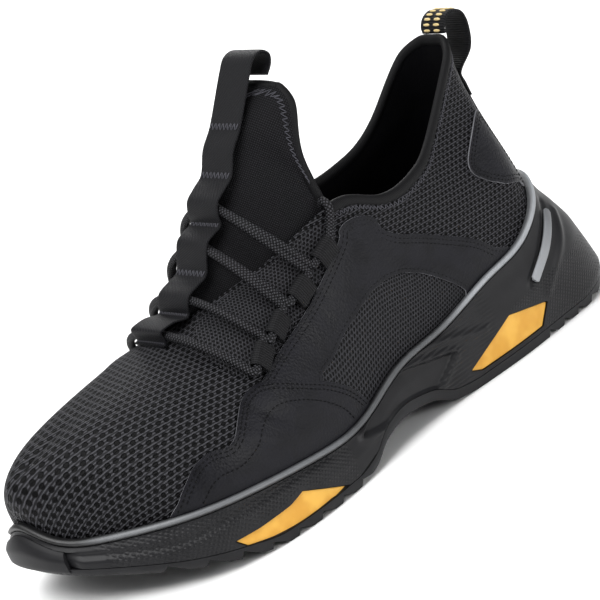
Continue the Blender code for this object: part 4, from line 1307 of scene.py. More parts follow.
def dense(loop, step, lay, closed=True):
    """Points a real distance apart along a flat line once it is laid on a form, flat and laid."""
    ends = np.vstack([loop, loop[:1]]) if closed else loop
    laid = lay(ends)
    lengths = run_of(laid)
    count = max(8, int(lengths[-1] / step))
    at = np.linspace(0, lengths[-1], count + 1)
    flat = np.stack([np.interp(at, lengths, ends[:, k]) for k in (0, 1)], axis=1)
    return flat, lay(flat)


def tree_of(points):
    made = KDTree(len(points))
    for i, point in enumerate(points):
        made.insert(Vector(point), i)
    made.balance()
    return made


def edge_distance(flat, loops, lay):
    """Signed distance from a panel's outlines, positive inside the first and outside the others."""
    within = inside(flat, loops[0])
    for hole in loops[1:]:
        within &= ~inside(flat, hole)
    lines = tree_of(np.vstack([dense(loop, 0.3 * MM, lay)[1] for loop in loops]))
    away = np.array([lines.find(Vector(point))[2] for point in lay(flat)])
    return np.where(within, away, -away)


def split(bm, layer):
    """Splits the edges of a grid where the signed distance on them is nothing."""
    made = []
    for edge in list(bm.edges):
        a, b = edge.verts
        if (a[layer] > 0) != (b[layer] > 0):
            share = a[layer] / (a[layer] - b[layer])
            where = a.co.lerp(b.co, share)
            vert = bmesh.utils.edge_split(edge, a, share)[1]
            vert.co = where
            vert[layer] = 0.0
            made.append(vert)
    bmesh.ops.connect_verts(bm, verts=made)


def cut(bm, signed, far=None):
    """Splits a grid where the signed distance is nothing and deletes what is outside, the far part first."""
    layer = new_layer(bm, "edge", signed)
    if far:
        reach = [[v[layer] for v in f.verts] for f in bm.faces]
        away = [f for f, near in zip(bm.faces, reach) if max(near) <= 0 and min(near) < far]
        bmesh.ops.delete(bm, geom=away, context="FACES")
    split(bm, layer)
    outer = [f for f in bm.faces if sum(v[layer] for v in f.verts) <= 0]
    bmesh.ops.delete(bm, geom=outer, context="FACES")


def make_panel(name, side, corners, lift, holes=(), material=None, thickness=PANEL_THICKNESS):
    """A panel of one side of the upper. Returns its outlines for the stitching."""
    loops = [smooth_loop(line) for line in (corners, *holes)]
    low, high = loops[0].min(axis=0), loops[0].max(axis=0)
    low, high = np.maximum(low, (0.0, 0.0)), np.minimum(high, (LAST_SECTION, 1.0))
    span = on_skin([low[0], high[0], low[0], low[0]], side, [0.4, 0.4, low[1], high[1]])
    columns = int((girth(high[0]) - girth(low[0])) / PANEL_CELL) + 4
    rows = int(np.linalg.norm(span[3] - span[2]) / PANEL_CELL) + 4
    bm, uv = grid(columns, rows)
    flat = low + uv * (high - low)
    cut(bm, edge_distance(flat, loops, laid_on(side)))
    flat = np.array([(v.co.x + 0.5, v.co.y + 0.5) for v in bm.verts]) * (high - low) + low
    layer = bm.loops.layers.uv.new("UVMap")
    height = np.linalg.norm(span[3] - span[2]) / max(high[1] - low[1], 1e-6)
    ways_round = np.interp(flat[:, 0], range(len(KNOTS)), KNOTS)
    bm.verts.index_update()
    for face in bm.faces:
        for loop in face.loops:
            i = loop.vert.index
            loop[layer].uv = (ways_round[i] / MM, flat[i, 1] * height / MM)
    place(bm, on_skin(flat[:, 0], side, flat[:, 1], lift))
    bm.faces.ensure_lookup_table()
    bm.normal_update()
    middle = bm.faces[len(bm.faces) // 2]
    section, share = flat[middle.verts[0].index]
    if middle.normal.dot(skin_way(section, side, share)) < 0:
        bmesh.ops.reverse_faces(bm, faces=bm.faces)
    # Rim and rounded edges take the light grey edge colour, partly a painted highlight.
    materials = [material or LEATHER, EDGE_TONE_AND_HIGHLIGHT]
    panel = finish_piece(name, bm, materials, "upper_mesh", merge=0, recalc=False, smooth=40.0)
    wall(panel, thickness, 1.0, rim=0 if material else 1)
    soften(panel, thickness * 0.4, -1 if material else 1)
    return loops


# %% [markdown]
# Every seam is real thread: a small rounded stitch for each time the needle goes through. A row of them
# runs a set distance inside a panel's edge, and a zigzag goes to and fro between two lines.

# %% Stitching
STITCH_LENGTH = 1.5 * MM
STITCH_PITCH = 2.1 * MM
STITCH_RADIUS = 0.26 * MM
SEAM_LIFT = PANEL_THICKNESS + 0.1 * MM


def stitch(bm, start, stop, normal, radius=STITCH_RADIUS):
    """One stitch, as a small rounded grain between two points."""
    way = stop - start
    along = way.normalized()
    across = normal.cross(along).normalized()
    up = along.cross(across)
    turn = Matrix((along, across, up)).transposed().to_4x4()
    size = Matrix.Diagonal((way.length / 2, radius, radius * 0.8, 1.0))
    laid = Matrix.Translation((start + stop) / 2) @ turn @ size
    bmesh.ops.create_icosphere(bm, subdivisions=1, radius=1.0, matrix=laid)


def stitch_row(bm, points, normals, radius=STITCH_RADIUS):
    """Stitches end to end along points that are one pitch apart."""
    share = STITCH_LENGTH / STITCH_PITCH
    for i in range(len(points) - 1):
        a, b = Vector(points[i]), Vector(points[i + 1])
        if (b - a).length < 2 * STITCH_PITCH:
            stitch(bm, a, a.lerp(b, share), Vector(normals[i]), radius)


def seam(bm, loop, side, inset, lift=SEAM_LIFT, skip=None):
    """A row of stitches a set distance inside a panel's outline. Skip says where it is left out."""
    flat, laid = dense(loop, STITCH_PITCH, laid_on(side))
    normals = on_skin(flat[:, 0], side, flat[:, 1], 1.0) - laid
    ahead = np.roll(laid, -1, axis=0) - np.roll(laid, 1, axis=0)
    inward = np.cross(normals, ahead)
    inward /= np.linalg.norm(inward, axis=1, keepdims=True)
    area = sum(a[0] * b[1] - b[0] * a[1] for a, b in zip(loop, np.roll(loop, -1, axis=0)))
    inward *= (-1 if area > 0 else 1) * side
    points = laid + inward * inset + normals * (lift + 0.1 * MM)
    lines = tree_of(dense(loop, 0.5 * MM, laid_on(side))[1])
    keep = [lines.find(Vector(p))[2] > inset * 0.93 for p in points]
    if skip:
        keep = [k and not skip(*f) for k, f in zip(keep, flat)]
    run = []
    for i, kept in enumerate(keep + [False]):
        if kept:
            run.append(i)
        elif run:
            stitch_row(bm, points[run], normals[run])
            run = []


print("stitches are", STITCH_PITCH / MM, "mm apart")

# %% [markdown]
# The quarter panel runs from the throat down to the sole and round a window of finer mesh. The forefoot
# panel guards the side of the toes. The heel patch is a small plate at the back. Each place on a panel is
# (section, share of the upper's height). The shoe wears the same panels on both sides.

# %% Panels of the upper
QUARTER = (
    (3.30, -0.03), (3.62, 0.12), (3.80, 0.24), (4.05, 0.37), (4.57, 0.61), (5.00, 0.72), (5.26, 0.77),
    (5.34, 0.85), (5.65, 0.87), (6.00, 0.865), (6.16, 0.845), (6.25, 0.79), (6.70, 0.68), (7.26, 0.58),
    (7.67, 0.52), (8.20, 0.435), (8.30, 0.40), (8.05, 0.30), (7.60, 0.20), (7.05, 0.08), (6.85, -0.03),
    (5.50, -0.05), (4.40, -0.05),
)
WINDOW = (
    (7.40, 0.27), (7.05, 0.33), (6.69, 0.38), (5.91, 0.44), (5.30, 0.455), (4.95, 0.41), (4.72, 0.31),
    (4.50, 0.16), (4.36, 0.02), (4.60, -0.04), (5.60, -0.04), (6.60, -0.04), (7.00, 0.06),
)
FOREFOOT = (
    (6.80, -0.04), (6.84, 0.08), (7.26, 0.24), (7.87, 0.355), (8.29, 0.415), (8.55, 0.415), (8.72, 0.385),
    (8.91, 0.31), (9.03, 0.26), (9.18, 0.24), (9.44, 0.26), (9.66, 0.235), (9.80, 0.19), (10.03, 0.09),
    (10.22, -0.04), (9.00, -0.05), (7.80, -0.05),
)
FOREFOOT_LINE = (
    (7.12, 0.03), (7.25, 0.11), (7.55, 0.20), (7.94, 0.265), (8.30, 0.29), (8.57, 0.245), (8.79, 0.17),
    (9.09, 0.125), (9.40, 0.125), (9.58, 0.10), (9.80, 0.02),
)
HEEL_PATCH = (
    (1.55, 0.04), (1.36, 0.20), (1.44, 0.40), (1.58, 0.54), (1.80, 0.60), (2.30, 0.62), (2.85, 0.61),
    (3.03, 0.58), (3.03, 0.50), (2.90, 0.41), (2.72, 0.33), (2.52, 0.25), (2.05, 0.12), (1.75, 0.03),
)
THROAT = (
    (6.28, 0.80), (6.70, 0.70), (7.26, 0.60), (7.67, 0.54), (8.20, 0.455), (8.55, 0.50), (8.72, 0.66),
    (8.60, 0.84), (8.30, 0.93), (7.60, 0.965), (6.90, 0.97), (6.40, 0.95),
)
PANELS = (
    ("throat_mesh", THROAT, 0.05 * MM, (), FINE_MESH, 0.35 * MM),
    ("window_mesh", WINDOW, 0.05 * MM, (), FINE_MESH, 0.3 * MM),
    ("quarter_panel", QUARTER, 0.3 * MM, (WINDOW,), None, PANEL_THICKNESS),
    ("forefoot_panel", FOREFOOT, 0.5 * MM, (), None, PANEL_THICKNESS),
    ("heel_patch", HEEL_PATCH, 0.2 * MM, (), None, PANEL_THICKNESS),
)
outlines = {
    (name, side): make_panel(name + "_" + side_name, side, *facts)
    for side, side_name in SIDES for name, *facts in PANELS
}

# %% Seams of the panels


def at_the_rim(section, share):
    return share < 0.02


def under_the_forefoot_panel(section, share):
    return share < 0.02 or (section > 6.9 and share < 0.36)


SEAMS = (
    ("quarter_panel", 0, (1.7 * MM, 3.6 * MM), SEAM_LIFT, under_the_forefoot_panel),
    ("quarter_panel", 1, (-1.6 * MM,), SEAM_LIFT, at_the_rim),
    ("forefoot_panel", 0, (1.6 * MM, 3.3 * MM), SEAM_LIFT + 0.4 * MM, at_the_rim),
    ("heel_patch", 0, (1.5 * MM, 3.1 * MM), SEAM_LIFT, None),
)


def make_seams():
    bm = bmesh.new()
    for side, _ in SIDES:
        for panel, line, insets, lift, skip in SEAMS:
            for inset in insets:
                seam(bm, outlines[panel, side][line], side, inset, lift, skip)
        lay = laid_on(side, SEAM_LIFT + 0.6 * MM)
        flat, laid = dense(smooth_loop(FOREFOOT_LINE, closed=False), STITCH_PITCH, lay, closed=False)
        stitch_row(bm, laid, laid_on(side, 1.0)(flat) - laid_on(side)(flat))
    finish_piece("panel_seams", bm, [DARK_THREAD], "upper_mesh", merge=0)


make_seams()

# %% [markdown]
# Collar and tongue end in a soft roll of stretch tape, folded over the edge. Each roll is swept along the
# edge with an oval profile, and a zigzag of thread holds it down.

# %% Sweeps


def sweep_grid(
    name, path, sides, ups, half_width, half_height, material, slot,
    stands_for=(), turns=14, square=1.0, smooth=60.0, paint_and_highlight=None,
):
    """A cord or strap along a path, with a map in mm. Sides and ups say how its width and height lie."""
    path, sides, ups = (np.array([tuple(p) for p in group]) for group in (path, sides, ups))
    half_width = np.broadcast_to(half_width, len(path))
    half_height = np.broadcast_to(half_height, len(path))
    bm, uv = grid(len(path) - 1, turns)
    lengths = run_of(path)
    at = np.rint(uv[:, 0] * (len(path) - 1)).astype(int)
    angle = uv[:, 1] * 2 * math.pi
    across = np.sign(np.cos(angle)) * np.abs(np.cos(angle)) ** square
    above = np.sign(np.sin(angle)) * np.abs(np.sin(angle)) ** square
    wide, high = (across * half_width[at])[:, None], (above * half_height[at])[:, None]
    points = path[at] + sides[at] * wide + ups[at] * high
    layer = bm.loops.layers.uv.new("UVMap")
    bm.verts.ensure_lookup_table()
    round_half = half_width + half_height
    for face in bm.faces:
        for loop in face.loops:
            i = loop.vert.index
            width = across[i] * half_width[at[i]] if square < 1 else angle[i] * round_half[at[i]] / 2
            loop[layer].uv = (lengths[at[i]] / MM, width / MM)
    place(bm, points)
    # The silver's strength at each ring, partly a painted highlight.
    if paint_and_highlight is not None:
        new_layer(bm, "paint_and_highlight", paint_and_highlight[at])
    bmesh.ops.remove_doubles(bm, verts=bm.verts, dist=0.003 * MM)
    fill_holes(bm)
    return finish_piece(name, bm, [material], slot, stands_for, merge=0, smooth=smooth)


def strap(name, path, across, width, thickness, material, slot, stands_for, turns=24):
    """A flat tape along a path that turns about one axis only. Returns its outward ways."""
    ups = [across.cross(span_at(path, i)).normalized() for i in range(len(path))]
    sides = [across] * len(path)
    sweep_grid(
        name, path, sides, ups, width / 2, thickness / 2, material, slot, [stands_for],
        turns=turns, square=0.35, smooth=50.0,
    )
    return ups


def ends_fade(count, start, reach):
    """A share that grows from each end of a sweep to 1 over a number of rings."""
    ends = np.minimum(np.arange(count), np.arange(count)[::-1])
    return np.clip(start + ends / reach, 0, 1)


def zigzag(bm, outer, inner, normals):
    """Stitches to and fro between two lines."""
    for i in range(len(outer) - 1):
        a, b = (outer[i], inner[i + 1]) if i % 2 else (inner[i], outer[i + 1])
        stitch(bm, Vector(a), Vector(b), Vector(normals[i]), STITCH_RADIUS * 0.8)


def frames(path, outward_ways):
    """Sides and ups of a sweep: up is the outward way, squared to the path."""
    ways = [span_at(path, i).normalized() for i in range(len(path))]
    ups = [(up - way * up.dot(way)).normalized() for way, up in zip(ways, outward_ways)]
    return [way.cross(up) for way, up in zip(ways, ups)], ups


COLLAR_END = 6.35
COLLAR_STEP = 0.06
ZIGZAG_END = 6.1
ZIGZAG_STEP = 0.045
ZIGZAG_DEPTHS = (4.1 * MM, 6.3 * MM)
BINDING_HALF_HEIGHT = 2.6 * MM
BINDING_HALF_WIDTH = 1.75 * MM


def make_collar_binding():
    steps = int(COLLAR_END / COLLAR_STEP)
    lateral = [(COLLAR_END * i / steps, 1) for i in range(steps, -1, -1)]
    path, sides, ups = [], [], []
    for section, side in lateral + [(s, -1) for s, _ in reversed(lateral)][1:]:
        top = skin_point(section, side, 1.0)
        up = (top - skin_point(section, side, 0.95)).normalized()
        out = skin_way(section, side, 1.0)
        path.append(top - up * BINDING_HALF_HEIGHT * 0.72 - out * UPPER_WALL / 2)
        sides.append(out)
        ups.append(up)
    fade = ends_fade(len(path), 0.35, 6)
    halves = BINDING_HALF_WIDTH * fade, BINDING_HALF_HEIGHT * fade
    sweep_grid("collar_binding", path, sides, ups, *halves, BINDING, "upper_mesh")


def make_collar_zigzag():
    bm = bmesh.new()
    for side, _ in SIDES:
        outer, inner, normals = [], [], []
        for i, section in enumerate(np.arange(0.0, ZIGZAG_END, ZIGZAG_STEP)):
            span = (skin_point(section, side, 1.0) - skin_point(section, side, 0.9)).length / 0.1
            for depth, line in zip(ZIGZAG_DEPTHS, (outer, inner)):
                line.append(skin_point(section, side, 1.0 - depth / span, 0.35 * MM))
            normals.append(skin_way(section, side, 1.0 - ZIGZAG_DEPTHS[1 - i % 2] / span))
        zigzag(bm, outer, inner, normals)
    finish_piece("collar_zigzag", bm, [THREAD], "upper_mesh", merge=0)


make_collar_binding()
make_collar_zigzag()

# %% [markdown]
# The tongue is one padded sheet that starts under the vamp and stands up out of the throat. The same table
# as the solid's gives its rows. It is laid out from a grid, unrolled for its knit, and bound at its edge.

# %% Tongue
TONGUE_STEPS = 8
TONGUE_FINE_TURNS = 48
TONGUE_ROLL = 2.1 * MM
TONGUE_CORNER = 0.34
TONGUE_EDGE_START = 5.6


def tongue_place(row, turn):
    """A place on the tongue, with its top corners rounded off."""
    over = max(0.0, row - len(TONGUE) + 2)
    return tongue_point(row - TONGUE_CORNER * over * abs(turn) ** 3, turn)


def make_tongue_sheet():
    rows = TONGUE_STEPS * (len(TONGUE) - 1)
    bm, uv = grid(TONGUE_FINE_TURNS, rows)
    points = [tuple(tongue_place(v * (len(TONGUE) - 1), 2 * u - 1)) for u, v in uv]
    place(bm, points)
    tongue = finish_piece("tongue_sheet", bm, [KNIT, LINING], "tongue_knit", ["tongue"], merge=0)
    if sum(p.normal.y for p in tongue.data.polygons) > 0:
        tongue.data.flip_normals()
    unroll(tongue, lambda co: False)
    wall(tongue, TONGUE_WALL, -1.0, inner=1)


def tongue_edge(inset, lift):
    """Points along the tongue's free edge, from lateral round the top to medial, with outward normals."""
    last = len(TONGUE) - 1
    near_top, near_edge, small = last - 0.03, 0.97, 0.06
    up_the_side = np.linspace(TONGUE_EDGE_START, last, 44)
    over_the_top = np.linspace(1.0, -1.0, 30)[1:-1]
    free_edge = [(row, 1.0) for row in up_the_side] + [(last, turn) for turn in over_the_top]
    free_edge += [(row, -1.0) for row in up_the_side[::-1]]
    made, normals = [], []
    for row, turn in free_edge:
        level = min(row, near_top)
        span_turn = (tongue_point(level, near_edge) - tongue_point(level, near_edge - small)).length / small
        span_row = (tongue_point(last - 0.02, turn) - tongue_point(last - 0.02 - small, turn)).length / small
        row = min(row, last - inset / span_row)
        limit = 1.0 - inset / span_turn
        turn = max(-limit, min(limit, turn))
        normal = surface_normal(tongue_point, min(row, near_top), max(-near_edge, min(near_edge, turn)))
        made.append(tongue_place(row, turn) + normal * lift)
        normals.append(normal)
    return made, normals


def make_tongue_binding():
    path, normals = tongue_edge(TONGUE_ROLL * 0.75, -TONGUE_WALL / 2)
    sides, ups = frames(path, normals)
    fade = TONGUE_ROLL * ends_fade(len(path), 0.3, 8)
    sweep_grid("tongue_binding", path, sides, ups, fade, fade * 1.06, BINDING, "tongue_knit")
    outer, out_normals = tongue_edge(4.3 * MM, 0.3 * MM)
    lengths = run_of(outer)
    at = np.arange(0.0, lengths[-1], 1.25 * MM)
    lines = [
        np.stack([np.interp(at, lengths, [p[k] for p in line]) for k in range(3)], axis=1)
        for line in (outer, tongue_edge(6.8 * MM, 0.3 * MM)[0], out_normals)
    ]
    bm = bmesh.new()
    zigzag(bm, *lines)
    finish_piece("tongue_zigzag", bm, [THREAD], "tongue_knit", merge=0)


make_tongue_sheet()
make_tongue_binding()

# %% [markdown]
# A webbing ribbon runs down the tongue's crest. Bar tacks hold it at intervals, and between them it stands
# up into tunnels for the lace. At the top it turns over into a loop.

# %% Ribbon
RIBBON_TACKS = (7.0, 6.0, 5.05, 4.0, 3.0, 1.05)
TACK_LENGTH = 3.2 * MM
TACK_WIDTH = 0.92 * RIBBON_WIDTH
TACK_THREADS = 15


def ribbon_points():
    under = UPPER_WALL + 3 * GAP
    flat = GAP + RIBBON_THICKNESS / 2
    points = [above_crest(row, flat + rise * LACE_DIAMETER + over * under) for row, rise, over in RIBBON_ROWS]
    centre = points[-1].x
    return points + [Vector((centre, to_y(along), height * TONGUE_HEIGHT)) for along, height in RIBBON_LOOP]


def make_ribbon_strap():
    path = curve_through(ribbon_points(), 0.8 * MM)
    size = RIBBON_WIDTH, RIBBON_THICKNESS
    return path, strap("ribbon_strap", path, ACROSS, *size, WEBBING, "webbing", "tongue_ribbon")


def make_ribbon_tacks(path, ups):
    bm = bmesh.new()
    for row in RIBBON_TACKS:
        over = float(np.interp(row, [r[0] for r in RIBBON_ROWS], [r[2] for r in RIBBON_ROWS]))
        target = above_crest(row, over * (UPPER_WALL + 3 * GAP))
        near = min(range(len(path)), key=lambda i: (path[i] - target).length)
        up = -ups[near] if ups[near].y > 0 else ups[near]
        half = up.cross(ACROSS).normalized() * TACK_LENGTH / 2
        face = path[near] + up * (RIBBON_THICKNESS / 2 + 0.12 * MM)
        for i in range(TACK_THREADS):
            middle = face + ACROSS * TACK_WIDTH * ((i + 0.5) / TACK_THREADS - 0.5)
            lean = half - ACROSS * 0.5 * MM * (1 if i % 2 else -1)
            stitch(bm, middle - lean, middle + lean, up, 0.3 * MM)
    finish_piece("ribbon_tacks", bm, [THREAD], "webbing", merge=0)


make_ribbon_tacks(*make_ribbon_strap())

# %% [markdown]
# Four folded loops of grosgrain tape a side hold the lace. Each lies on the upper and is sewn in behind
# the quarter panel's edge. The lace runs through the fold.

# %% Side loops


def make_side_loop(side, side_name, index):
    base, reach, across, normal, length = side_loop_frame(index, side)
    radius = SIDE_LOOP_RADIUS
    turned = length - radius
    line = [(0.0, SIDE_LOOP_LIFT), (turned / 3, SIDE_LOOP_LIFT), (turned * 2 / 3, SIDE_LOOP_LIFT)]
    for step in range(15):
        angle = math.pi * (step / 14 - 0.5)
        line.append((turned + radius * math.cos(angle), SIDE_LOOP_LIFT + radius * (1 + math.sin(angle))))
    top = SIDE_LOOP_LIFT + SIDE_LOOP_THICKNESS + GAP
    line += [(turned * 0.45, (top + SIDE_LOOP_LIFT + 2 * radius) / 2), (0.0, top)]
    path = curve_through([base + reach * along + normal * height for along, height in line], 0.6 * MM)
    name = side_name + "_" + str(index + 1)
    size = SIDE_LOOP_WIDTH, SIDE_LOOP_THICKNESS
    strap("loop_tape_" + name, path, across, *size, GROSGRAIN, "grosgrain", "side_loop_" + name, turns=20)


for side, side_name in SIDES:
    for index in range(len(SIDE_LOOPS)):
        make_side_loop(side, side_name, index)

# %% [markdown]
# One round lace runs all the way: over the collar, through the side loops and to and fro under the ribbon.
# The route is laid from loop to loop, and the lace is swept along it with a braid on its own map.

# %% Lace
# Each step: what the lace passes, its row, the side it is on at a loop, and the way or side that it leaves.
LACE_ROUTE = (
    ("loop", 0, 1, 1), ("cross", 0, 0, 1), ("loop", 1, -1, 1), ("cross", 1, 0, -1), ("loop", 2, 1, 1),
    ("cross", 2, 0, 1), ("loop", 3, -1, 1), ("bar", 3, 0, -1), ("loop", 3, 1, -1), ("back", 2, 1, 1),
    ("loop", 2, -1, -1), ("back", 1, 1, -1), ("loop", 1, 1, -1), ("back", 0, 1, 1), ("loop", 0, -1, -1),
)
LACE_END = ((6.28, 0.90, 2.4 * MM), (6.20, 0.965, 2.5 * MM))
LACE_END_SECTION = 6.17
LACE_OVER_COLLAR = ((-5.6, -12.0), (-5.4, -5.0), (-4.2, 0.4), (-1.0, 2.9), (2.4, 0.6))


def collar_end(side):
    """Where the lace goes over the collar's edge and ends just inside it, from inside out."""
    edge = skin_point(LACE_END_SECTION, side, 1.0)
    way = skin_way(LACE_END_SECTION, side, 1.0)
    up = (edge - skin_point(LACE_END_SECTION, side, 0.9)).normalized()
    over = [edge + way * out * MM + up * rise * MM for out, rise in LACE_OVER_COLLAR]
    return over + [skin_point(section, side, share, lift) for section, share, lift in reversed(LACE_END)]


def strand_points(strand, side, lift):
    points = lace_strand(strand, side)
    top = surface_normal(tongue_point, strand[0], 0.0) * lift
    return [p + top * max(0.0, 1 - i * 0.4) for i, p in enumerate(points)]


def loop_points(index, side, way):
    """Through a side loop, from its heelward mouth to the other (way 1) or back."""
    _, _, across, _, _ = side_loop_frame(index, side)
    centre = side_loop_centre(index, side)
    steps = (1.0, 0.35, -0.35, -1.0)
    points = [centre + across * step * SIDE_LOOP_WIDTH * 0.42 for step in steps]
    return points if way == 1 else points[::-1]


def lace_route():
    points = collar_end(1)
    for kind, index, first, way in LACE_ROUTE:
        if kind == "loop":
            points += loop_points(index, first, way)
            continue
        strands = LACE_CROSSINGS[index]
        lift = 0.2 * LACE_DIAMETER * (1 if kind == "cross" else -1)
        out, back = {"bar": (0, 0), "cross": (0, 1), "back": (1, 0)}[kind]
        points += strand_points(strands[out], way, lift)[::-1]
        points += strand_points(strands[back], -way, lift)[1:]
    return points + collar_end(-1)[::-1]


def make_lace_cord():
    route = lace_route()
    kept = [route[0]]
    for point in route[1:]:
        if (point - kept[-1]).length > 1.2 * MM:
            kept.append(point)
    path = curve_through(kept, 1.1 * MM)
    sides, ups = [], []
    across = ACROSS
    for i in range(len(path)):
        way = span_at(path, i).normalized()
        across = (across - way * across.dot(way)).normalized()
        sides.append(across)
        ups.append(way.cross(across))
    print("the lace is", round(run_of(path)[-1] / MM), "mm long where it shows, in", len(path), "rings")
    nodes = ["lace_cross_1", "lace_cross_2", "lace_cross_3", "lace_bar_4"]
    radius = LACE_DIAMETER / 2
    sweep_grid("lace_cord", path, sides, ups, radius, radius, LACE, "lace_braid", nodes)


make_lace_cord()

# %% [markdown]
# The midsole is one moulded unit. Its wall follows the sole's form from tread to feather line. Grooves and
# ridges are pressed into it: a long crease at the forefoot, a framed hollow at the arch with a second line
# over it, and a slot round the heel's bar. Each line is in side view, as (share of the length, height).

# %% Lines in the sole's wall
FORE_CREASE = ((0.963, 23.4), (0.921, 20.9), (0.873, 18.9), (0.797, 20.3), (0.701, 20.7), (0.64, 19.4))
ARCH_FRAME = (
    (0.576, 15.9), (0.538, 22.7), (0.493, 28.3), (0.464, 28.9), (0.410, 24.8), (0.359, 20.4), (0.390, 13.5),
    (0.430, 9.8), (0.50, 12.5),
)
ARCH_LINE = (
    (0.610, 21.5), (0.560, 24.4), (0.528, 27.4), (0.480, 32.2), (0.459, 33.0), (0.394, 28.9), (0.327, 22.9),
    (0.300, 21.0),
)
HEEL_SLOT = ((0.088, 48.5), (0.130, 37.4), (0.150, 32.4), (0.188, 25.0))
HEEL_RIDGE = ((0.072, 42.0), (0.098, 33.0), (0.135, 24.0), (0.165, 17.0))
WALL_LINES = (
    (FORE_CREASE, -1.0, 1.5),
    (ARCH_LINE, 1.0, 1.7),
    (HEEL_SLOT, -1.0, 1.7),
    (HEEL_RIDGE, 0.8, 1.8),
)

# Where the wall is hatched and ribbed, as shares of the length, and how high the hatch goes, in mm.
HATCH_FORE = (0.60, 0.95)
HATCH_HEEL = 0.25
RIBS_SPAN = (0.27, 0.56)
HATCH_TOP = ((0.0, 30), (0.2, 24), (0.6, 22), (0.7, 24), (0.96, 27))
POCKET_FROM_CENTRE = 18 * MM
FAR_OUTSIDE = -9.0
WALL_STEPS = 34
WALL_FINE_ROWS = 48
WALL_LOW = LUG_DEPTH + WEB_THICKNESS + GAP


def side_view(points):
    """Points as seen from the side: distance from the heel and height, in mm."""
    return np.stack([to_along(points[:, 1]), points[:, 2] / MM], axis=1) * (LENGTH / MM, 1.0)


def line_distance(view, line, closed=False):
    """How far places in side view lie from a drawn line, in mm, and the line's own dense points."""
    dots = smooth_loop(line, closed=closed, steps=24) * (LENGTH / MM, 1.0)
    tree = tree_of([(x, y, 0.0) for x, y in dots])
    return np.array([tree.find((x, y, 0.0))[2] for x, y in view]), dots


def wall_relief(view):
    """How far lines stand out of the sole's wall, in mm, and where the arch's frame is."""
    made = np.zeros(len(view))
    for line, height, width in WALL_LINES:
        away, _ = line_distance(view, line)
        made += height * np.exp(-((away / width) ** 2))
    away, frame_line = line_distance(view, ARCH_FRAME, closed=True)
    within = inside(view, frame_line)
    made += np.where(within, -1.3 * np.clip(away / 1.8, 0, 1) ** 2, 0.0) + 0.7 * np.exp(-((away / 1.5) ** 2))
    return made, within * np.clip((away - 1.0) / 1.5, 0, 1)


def wall_column(section, side):
    """One column of the midsole's wall from its low edge up to the rim, before its relief."""
    low = wall_share(section, side, WALL_LOW)
    high = depth_share(section, side, BUMPER_DROP)
    top = depth_share(section, side, RIM_STRIP_HEIGHT + GAP)
    back = monotone(BUMPER_SET_BACK, section) * (BUMPER_THICKNESS + GAP)
    made = []
    for row in range(WALL_FINE_ROWS + 1):
        share = low + (top - low) * row / WALL_FINE_ROWS
        set_back = back if share <= high else 0.0
        made.append(tuple(wall_point(section, side, share, -set_back)))
    return made


def insert_loop(where, distance=0.0):
    """An insert's corners in side view, in mm, moved in."""
    corners = np.array(INSERTS[where]) * (LENGTH / MM, SOLE_HEIGHT / MM)
    made = []
    area = sum(a[0] * b[1] - b[0] * a[1] for a, b in zip(corners, np.roll(corners, -1, axis=0)))
    for i, here in enumerate(corners):
        before = here - corners[i - 1]
        after = corners[(i + 1) % len(corners)] - here
        before, after = before / np.linalg.norm(before), after / np.linalg.norm(after)
        ways = [np.array((-e[1], e[0])) * np.sign(area) for e in (before, after)]
        middle = (ways[0] + ways[1]) / np.linalg.norm(ways[0] + ways[1])
        made.append(here + middle * distance / middle.dot(ways[0]))
    return np.array(made)


def polygon_distance(view, loop):
    """Signed distance from a polygon with straight sides, positive inside."""
    away = np.full(len(view), 1e9)
    for a, b in zip(loop, np.roll(loop, -1, axis=0)):
        t = np.clip(((view - a) @ (b - a)) / ((b - a) @ (b - a)), 0, 1)
        away = np.minimum(away, np.linalg.norm(view - a - t[:, None] * (b - a), axis=1))
    return np.where(inside(view, loop), away, -away)


def wall_table(side):
    """One side of the sole's wall as a table of points, and its outward way at each column."""
    sections = np.linspace(0, LAST_SECTION, LAST_SECTION * WALL_STEPS + 1)
    ways = np.array([tuple(outward(s, side)) for s in sections])
    return np.array([wall_column(s, side) for s in sections]), ways


WALL = {side: wall_table(side) for side, _ in SIDES}
print("sole's wall:", WALL[1][0].shape)


def wall_sheet():
    """A grid once round the wall: its mesh, rows, sides, points, outward ways and side view."""
    bm, uv = grid(2 * LAST_SECTION * WALL_STEPS, WALL_FINE_ROWS)
    section, side = once_round(uv)
    column = np.rint(section * WALL_STEPS).astype(int)
    row = np.rint(uv[:, 1] * WALL_FINE_ROWS).astype(int)
    lateral = (side == 1)[:, None]
    points = np.where(lateral, WALL[1][0][column, row], WALL[-1][0][column, row])
    ways = np.where(lateral, WALL[1][1][column], WALL[-1][1][column])
    return bm, uv[:, 1], side, points, ways, side_view(points)


# %% Midsole


